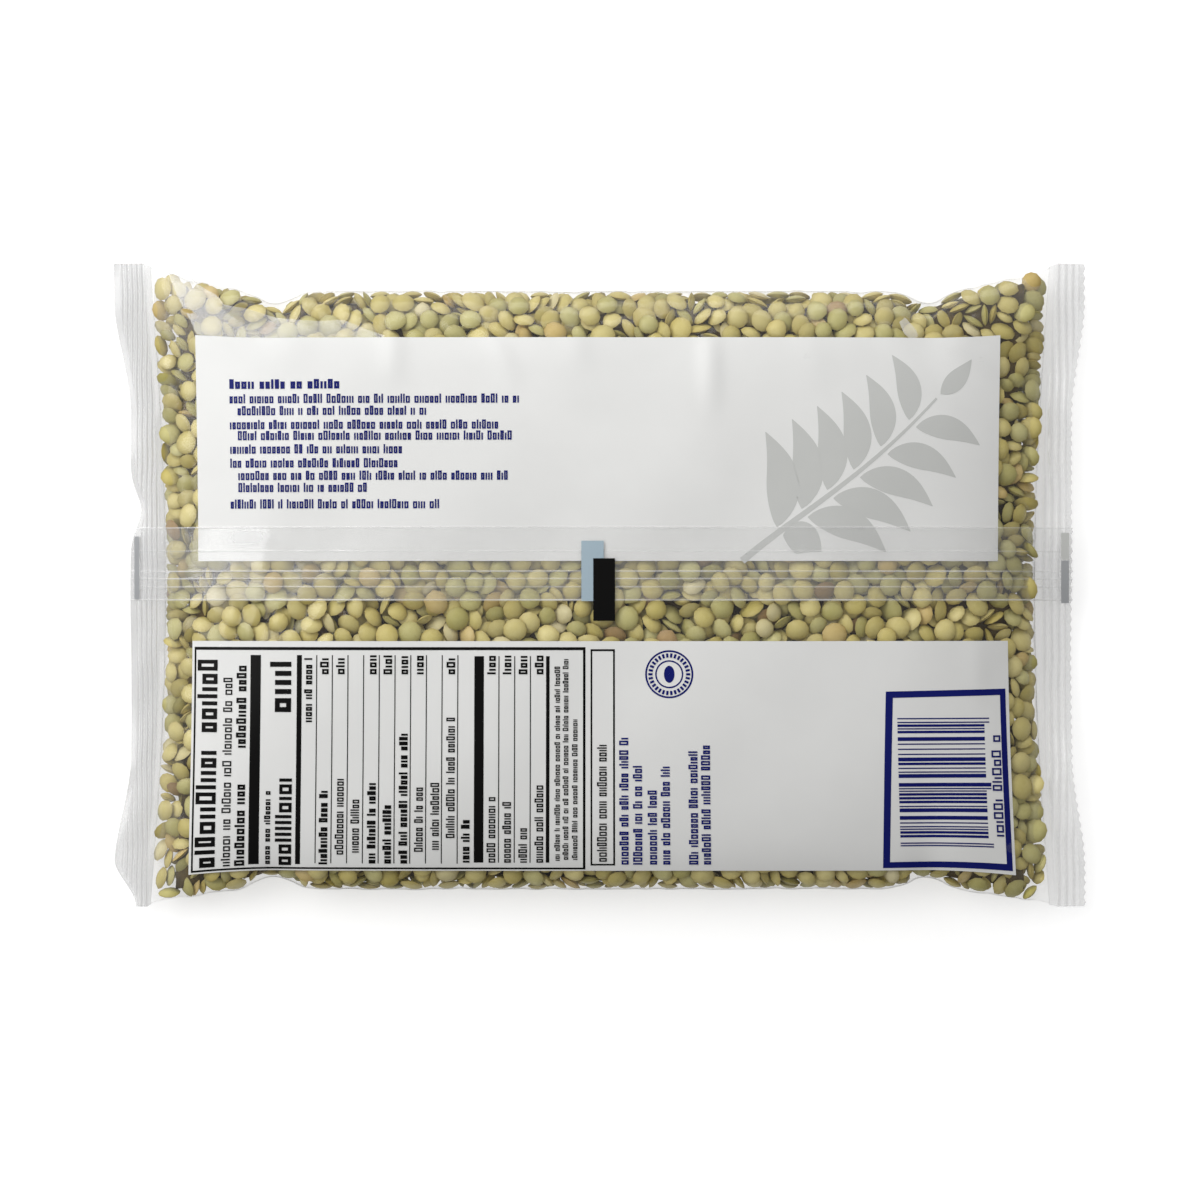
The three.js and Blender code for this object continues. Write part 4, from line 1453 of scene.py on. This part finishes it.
# %% Strokes of the table
black_strokes = []
for words, lengths in ((LARGE_WORDS, ONE_WORD), (SMALL_WORDS, WORD_LENGTHS)):
    black_strokes += [rising_words(foot, head, base, *rest, lengths) for base, foot, head, *rest in words]
for base, foot, head, pen, has_value in ROW_WORDS:
    black_strokes.append(rising_words(foot, head, base, ROW_HEIGHT, ROW_PITCH, pen))
    if has_value:
        black_strokes.append(rising_words(VALUE_FOOT, VALUE_HEAD, base, ROW_HEIGHT, VALUE_PITCH, VALUE_PEN))
add_piece("table_words", *stroke_boxes(np.concatenate(black_strokes)), black_ink, "black_print")

# %% [markdown]
# ## Bars for the till
#
# The blue frame holds the bars that a till reads. Their widths are random draws of one to four units, so they
# stand for no number. The frame isn't square, because the film is drawn askew there. So each of its sides is
# laid out between its own four corners.

# %% Till bars
BARS_LEFT, BARS_RIGHT, BARS_TOP, BARS_BOTTOM = 896.0, 984.0, 718.0, 847.0
GUARDS, GUARD_LENGTH = (0, 1, 14, 15, 28, 29), 5  # bars that are longer than the others
BAR_COUNT, BAR_UNITS, UNIT_CHANCES = 59, [1, 2, 3, 4], [0.5, 0.28, 0.14, 0.08]  # bars and gaps in turn
bar_units = random.choice(BAR_UNITS, BAR_COUNT, p=UNIT_CHANCES)
bar_parts = np.concatenate([[0], np.cumsum(bar_units)]) / bar_units.sum()
bar_edges = BARS_TOP + (BARS_BOTTOM - BARS_TOP) * bar_parts
till_bars = []
for number, (top, bottom) in enumerate(zip(bar_edges[0::2], bar_edges[1::2])):
    right = BARS_RIGHT + (GUARD_LENGTH if number in GUARDS else 0)
    till_bars.append(rectangle(BARS_LEFT, top, right, bottom, step=9))

# %% The frame round them
FRAME_CORNERS = ((885.0, 691.5), (1006.5, 689.0), (1007.0, 868.0), (878.0, 869.0))  # clockwise
FRAME_LINE = 6.4
FRAME_INWARD = ((1.1, 1), (-0.9, 1), (-0.9, -0.95), (1.1, -0.95))  # the way from each corner to the inner one
FRAME_ROWS, FRAME_COLUMNS = 3, 24


def slanted(near_start, near_end, far_start, far_end):
    """A grid of flat places between two lines, each from one corner to another in equal parts."""
    share = np.linspace(0, 1, FRAME_ROWS)[:, None, None]
    part = np.linspace(0, 1, FRAME_COLUMNS)[None, :, None]
    near = near_start * (1 - part) + near_end * part
    far = far_start * (1 - part) + far_end * part
    place = near * (1 - share) + far * share
    return np.stack(flat(place[..., 0], place[..., 1]), axis=-1)


frame_outer = np.array(FRAME_CORNERS)
frame_inner = frame_outer + FRAME_LINE * np.array(FRAME_INWARD)
for here in range(4):
    after = (here + 1) % 4
    till_bars.append(slanted(frame_inner[after], frame_inner[here], frame_outer[after], frame_outer[here]))
add_piece("till_bars", *skins(till_bars, PRINT_LIFT, PRINT_THICKNESS), blue_ink, "blue_print")

# %% Figures beside the bars
FIGURES, FIGURE_LETTERS = (836, 728, 999.8), (9.6, 8.6, 1.7)  # foot, head, base line; height, pitch, pen
add_piece("till_figures", *stroke_boxes(rising_words(*FIGURES, *FIGURE_LETTERS)), blue_ink, "blue_print")

# %% A ring with a seed in it
RING_X, RING_Y = 669.0, 674.0
RING_STEPS = 49
RINGS = ((24, 1.8, 1.0), (14, 1.5, 1.0), (8.5, 8.4, 0.62))  # radius, width, and how narrow it is
BEADS = (30, 18.8, 2.2, 4.2)  # count, distance from the middle, width and height


def ring(radius, width, squash_x):
    """A flat ring of places: a radius and a turn, both on a grid."""
    turn = np.linspace(0, 2 * np.pi, RING_STEPS)[None, :]
    away = np.array([radius, radius - width])[:, None]
    x = RING_X + squash_x * away * np.cos(turn)
    y = RING_Y + away * np.sin(turn)
    return np.stack(flat(x, y), axis=-1)


def ring_beads(count, radius, width, height):
    """Small boxes set round a circle, at even turns, as corners in pixels."""
    turn = 2 * np.pi * np.arange(count) / count
    outward = np.stack([np.cos(turn), np.sin(turn)], axis=-1)[:, None]
    onward = np.stack([-np.sin(turn), np.cos(turn)], axis=-1)[:, None]
    corner = np.array([(-1, -1), (1, -1), (1, 1), (-1, 1)]) / 2
    away = radius + height * corner[:, 1, None]
    return np.array([RING_X, RING_Y]) + away * outward + width * corner[:, 0, None] * onward


ring_grids = [ring(*size) for size in RINGS]
add_piece("seed_ring", *skins(ring_grids, PRINT_LIFT, PRINT_THICKNESS), blue_ink, "blue_print")
add_piece("ring_beads", *stroke_boxes(ring_beads(*BEADS)), blue_ink, "blue_print")

# %% [markdown]
# ## A grey sprig
#
# A grey plant stands at the right end of the upper field, of the kind that the bag holds: a bent stem with
# pairs of leaflets. A filled curve would lie flat. So a leaflet is a grid over its midrib and its width, and
# the stem is a width carried along a curve, and both follow the film.

# %% Stem and leaflets
STEM = np.array([[742, 561], [800, 512], [862, 480], [936, 398]])  # a curve's end points and its two handles
LEAFLET_STEPS, LEAFLET_POWER, LEAFLET_TIP = 22, 0.8, 0.3


def on_stem(part):
    """The stem's place and direction at a part t of its length.

    The place is the sum of its four points, weighted by (1-t)^3, 3 (1-t)^2 t, 3 (1-t) t^2 and t^3.
    """
    t = np.asarray(part, dtype=float)[..., None]
    a, b, c, d = STEM
    place = (1 - t) ** 3 * a + 3 * (1 - t) ** 2 * t * b + 3 * (1 - t) * t**2 * c + t**3 * d
    toward = 3 * (1 - t) ** 2 * (b - a) + 6 * (1 - t) * t * (c - b) + 3 * t**2 * (d - c)
    return place, unit(toward)


def ribbon(places, toward, half_width):
    """A run of places with an edge on either side, half_width away and square to the way it goes."""
    side = np.stack([toward[:, 1], -toward[:, 0]], axis=-1)
    edges = places[:, None] + np.array([-1, 0, 1])[None, :, None] * half_width[:, None, None] * side[:, None]
    return np.stack(flat(edges[..., 0], edges[..., 1]), axis=-1)


def leaflet(foot, heading, length, width, bow):
    """Its half width is width * sin(pi t^LEAFLET_POWER) / 2, along a midrib that bows by a sine."""
    t = np.linspace(0, 1, LEAFLET_STEPS)
    ahead = np.array([math.cos(heading), math.sin(heading)])
    aside = np.array([-ahead[1], ahead[0]])
    places = foot + length * (t[:, None] * ahead + bow * np.sin(np.pi * t)[:, None] * aside)
    toward = unit(ahead + bow * np.pi * np.cos(np.pi * t)[:, None] * aside)
    return ribbon(places, toward, width / 2 * np.sin(np.pi * t**LEAFLET_POWER) + LEAFLET_TIP)


# %% The sprig
LEAF_PAIRS, LEAF_GAP, LEAF_TURN, LEAF_BOW = 6, 6.0, 1.05, 0.12
FIRST_LEAF, LEAF_SPAN = 0.2, 0.68  # parts of the stem: where the leaflets start, and how far they go
LOWEST_LEAF, LEAST_FALL = 552.0, 0.1  # a leaflet that points down ends before the field does
TIP_LENGTH, TIP_WIDTH, TIP_BOW = 46, 19, 0.05
SPRIG_THICKNESS = 0.03
stem_part = np.linspace(0, 1, 40)
stem_place, stem_toward = on_stem(stem_part)
sprig = [ribbon(stem_place, stem_toward, 3.6 - 2.4 * stem_part)]
for pair in range(LEAF_PAIRS):
    part = FIRST_LEAF + LEAF_SPAN * pair / (LEAF_PAIRS - 1)
    place, toward = on_stem(part)
    length, width = 104 - 42 * part, 35 - 13 * part
    for side in (-1, 1):
        heading = math.atan2(toward[1], toward[0]) + side * LEAF_TURN
        foot = place + LEAF_GAP * np.array([math.cos(heading), math.sin(heading)])
        room = (LOWEST_LEAF - foot[1]) / max(math.sin(heading), LEAST_FALL)
        sprig.append(leaflet(foot, heading, min(length, room), width, -LEAF_BOW * side))
tip, tip_toward = on_stem(1.0)
tip_heading = math.atan2(tip_toward[1], tip_toward[0])
sprig.append(leaflet(tip + LEAF_GAP * tip_toward, tip_heading, TIP_LENGTH, TIP_WIDTH, TIP_BOW))
grey_ink = ink("grey_ink", (206, 207, 204), (200, 201, 198))
add_piece("grey_sprig", *skins(sprig, PRINT_LIFT, SPRIG_THICKNESS), grey_ink, "grey_print")

# %% [markdown]
# ## The back seam
#
# The tube was made from one flat film: its two long edges are sealed together into a fin, and the fin is
# folded down flat. So a doubled strip runs from end to end, held a little off the bag, and its own edges and
# welds show as fine white lines. Lines in the finish alone would look painted. The strip is a grid with small
# ribs at those lines, and with more points there than between them. Its finish still whitens those lines,
# partly for the welds' own milkiness and partly as a painted highlight, and it adds a painted highlight near
# the left end and a painted lightening towards the left.

# %% The flap and its lines
FLAP_LOW_Y, FLAP_HIGH_Y = -4.9, 17.7
FLAP_ROWS, FLAP_COLUMNS = 420, 40  # before the lines get their own columns
# place and strength of each line, and their width, as shares of the flap's width
FLAP_LINES = ((0.012, 0.5), (0.33, 0.35), (0.6, 0.9), (0.7, 0.75), (0.81, 0.5), (0.985, 0.9))
LINE_WIDTH = 0.009
line_columns = [place + LINE_WIDTH * np.linspace(-2, 2, 9) for place, _ in FLAP_LINES]
flap_share = np.unique(np.concatenate([np.linspace(0, 1, FLAP_COLUMNS), *line_columns]))
flap_share = flap_share[(flap_share >= 0) & (flap_share <= 1)][None, ::-1]
flap_lines = sum(strength * bell(flap_share - place, LINE_WIDTH) for place, strength in FLAP_LINES)
print("columns across the flap:", flap_share.size)

# %% The form of the flap
FLAP_LIFT, FLAP_THICKNESS, LINE_HEIGHT = 0.45, 0.12, 0.1
LONG_WAVE, LONG_WAVE_LENGTH, LONG_WAVE_LEAN = 0.12, 37, 3
SHORT_WAVE, SHORT_WAVE_LENGTH = 0.08, 13
flap_part = np.linspace(-1, 1, FLAP_ROWS)[:, None]
flap_y = FLAP_HIGH_Y + (FLAP_LOW_Y - FLAP_HIGH_Y) * flap_share
flap_x = flap_part * np.where(flap_part < 0, left_cut(flap_y), right_cut(flap_y))
flap_y = flap_y + 0 * flap_x
long_wave = LONG_WAVE * np.sin(2 * np.pi * flap_x / LONG_WAVE_LENGTH + LONG_WAVE_LEAN * flap_share)
short_wave = SHORT_WAVE * np.sin(2 * np.pi * flap_x / SHORT_WAVE_LENGTH)
flap_z = height_over(flap_x, flap_y) + creases(flap_x, flap_y) + FLAP_LIFT
flap_z = flap_z + (long_wave + short_wave) * np.sin(np.pi * flap_share) + LINE_HEIGHT * flap_lines
flap_points, flap_faces = closed_sheet(np.stack([flap_x, flap_y, flap_z], axis=-1), FLAP_THICKNESS)
seam_film = clear_film("seam_film", roughness=0.12)
flap_piece = add_piece("back_seam", flap_points, flap_faces, seam_film, "clear_film")

# %% How milky the flap is, with painted highlights and painted light
# The milk grows towards the left as painted light from the near light. Along the lines it is partly the
# welds' own white and partly painted highlight.
MIDDLE_MILK, LIT_SIDE_MILK, WELD_AND_GLINT_MILK = 0.045, 0.015, 0.45
STREAK_SHARE, STREAK_LENGTH, STREAK_LEAN = 0.25, 71, 9  # the lines' painted highlights are brighter and fainter by turns
HIGHLIGHT_X, HIGHLIGHT_Y, HIGHLIGHT_WIDTH, HIGHLIGHT_HEIGHT, HIGHLIGHT_MILK = -107.5, 14.5, 6.0, 3.0, 0.4  # a painted highlight on the flap's gloss
streak_wave = np.sin(2 * np.pi * flap_x / STREAK_LENGTH + STREAK_LEAN * flap_share)
glint_streaks = 1 - STREAK_SHARE + STREAK_SHARE * streak_wave
painted_highlight = HIGHLIGHT_MILK * bell(flap_x - HIGHLIGHT_X, HIGHLIGHT_WIDTH) * bell(flap_y - HIGHLIGHT_Y, HIGHLIGHT_HEIGHT)
flap_milk = MIDDLE_MILK - LIT_SIDE_MILK * flap_part + WELD_AND_GLINT_MILK * flap_lines * glint_streaks + painted_highlight
paint(flap_piece, "milky", np.tile(flap_milk.ravel(), 2))
print("milkiest place of the flap:", round(float(flap_milk.max()), 2))

# %% Marks that guide the machine
MARK_LIFT, ON_MARK = 0.75, 0.06  # the black mark lies on the pale one
sky_ink = ink("sky_ink", (170, 189, 200), (163, 183, 195))
end_ink = ink("end_ink", (172, 174, 176), (162, 164, 167))
MARKS = (
    # name, left, top, right and bottom of each part in pixels, lift, ink, slot
    ("pale_mark", [(581.5, 541, 603.7, 601)], MARK_LIFT, sky_ink, "pale_blue_print"),
    ("black_mark", [(593.3, 558.4, 615, 620.7)], MARK_LIFT + ON_MARK, black_ink, "black_print"),
    ("end_marks", [(128.5, 536, 133.5, 599), (1067, 560, 1075, 603)], MARK_LIFT, end_ink, "grey_print"),
    ("light_end_mark", [(1067, 532, 1075, 559)], MARK_LIFT, grey_ink, "grey_print"),
)
for name, sizes, lift, mark_ink, slot in MARKS:
    add_piece(name, *skins([rectangle(*size) for size in sizes], lift, PRINT_THICKNESS), mark_ink, slot)

# %% [markdown]
# ## Floor, light and camera
#
# The photo is a shop picture: white paper, one soft light close by on the left, a long low one behind the far
# side, and a camera straight above. The near light falls off across the bag, so its right end is darker. The
# far one is mirrored by the film where it curves down, which gives the milky strip there, and the film's
# haze adds a painted reflection to that strip. Such pictures are cleaned to a white ground. So the paper
# glows, but only as the camera sees it, and doesn't light the bag.

# %% Floor
FLOOR_HALF = 2500
FLOOR_GLOW = 0.54
floor_corners = FLOOR_HALF * np.array([(-1, -1, 0), (1, -1, 0), (1, 1, 0), (-1, 1, 0)])
floor = add_mesh("floor", floor_corners, np.array([(0, 1, 2, 3)]))
paper = new_material("white_paper")
seen = add_node(paper, "ShaderNodeLightPath").outputs["Is Camera Ray"]
paper_looks = {
    "Base Color": linear(228, 228, 228),
    "Roughness": 0.9,
    "Emission Color": (1, 1, 1, 1),
    "Emission Strength": maths(paper, "MULTIPLY", seen, FLOOR_GLOW),
}
paper_shader = add_node(paper, "ShaderNodeBsdfPrincipled", paper_looks)
floor.data.materials.append(finish_with(paper, paper_shader.outputs["BSDF"]))

# %% Light from the room's white walls
ROOM_GLOW = 0.27
ROOM_SLANT = (-0.09, 0.18, 0.28)  # more of it comes from the left, from the far side and from above
world = bpy.data.worlds.new("white_room")
world.use_nodes = True
way = add_node(world, "ShaderNodeTexCoord").outputs["Generated"]
slanted_glow = add_node(world, "ShaderNodeVectorMath", {0: way, 1: ROOM_SLANT}, operation="DOT_PRODUCT")
wall_glow = maths(world, "ADD", slanted_glow.outputs["Value"], ROOM_GLOW, use_clamp=True)
background = world.node_tree.nodes["Background"]
background.inputs["Color"].default_value = (1, 1, 1, 1)
world.node_tree.links.new(wall_glow, background.inputs["Strength"])
bpy.context.scene.world = world

# %% Two soft lights
NEAR_LIGHT = {"watts": 3.4, "width": 0.8, "height": 0.6, "away": 0.8, "elevation": 42, "azimuth": 58}
FAR_LIGHT = {"watts": 2.6, "width": 1.3, "height": 0.35, "away": 1.0, "elevation": 26, "azimuth": -2}


def add_softbox(name, watts, width, height, away, elevation, azimuth):
    """A flat soft light that faces the bag. The azimuth is turned from the far side to the left."""
    elevation, azimuth = math.radians(elevation), math.radians(azimuth)
    data = bpy.data.lights.new(name, "AREA")
    data.shape = "RECTANGLE"
    data.size, data.size_y = width, height
    data.energy = watts
    light = bpy.data.objects.new(name, data)
    level = away * math.cos(elevation)
    light.location = (-level * math.sin(azimuth), level * math.cos(azimuth), away * math.sin(elevation))
    light.rotation_euler = (elevation - math.pi / 2, 0, azimuth)
    bpy.context.scene.collection.objects.link(light)
    print(name, "at", [round(value, 2) for value in light.location], "m")


add_softbox("near_light", **NEAR_LIGHT)
add_softbox("far_light", **FAR_LIGHT)

# %% Camera
CAMERA_HEIGHT = 1.5
FRAME_WIDTH, FRAME_AT = 0.3673, 0.012  # what the picture spans at a height above the table
SENSOR = 36.0
camera_data = bpy.data.cameras.new("camera")
camera_data.sensor_width = SENSOR
camera_data.lens = SENSOR * (CAMERA_HEIGHT - FRAME_AT) / FRAME_WIDTH
camera = bpy.data.objects.new("camera", camera_data)
camera.location = (0, CAMERA_Y * MM, CAMERA_HEIGHT)
bpy.context.scene.collection.objects.link(camera)
bpy.context.scene.camera = camera
bpy.context.scene.view_settings.view_transform = "Standard"
print("lens, mm:", round(camera_data.lens, 1))
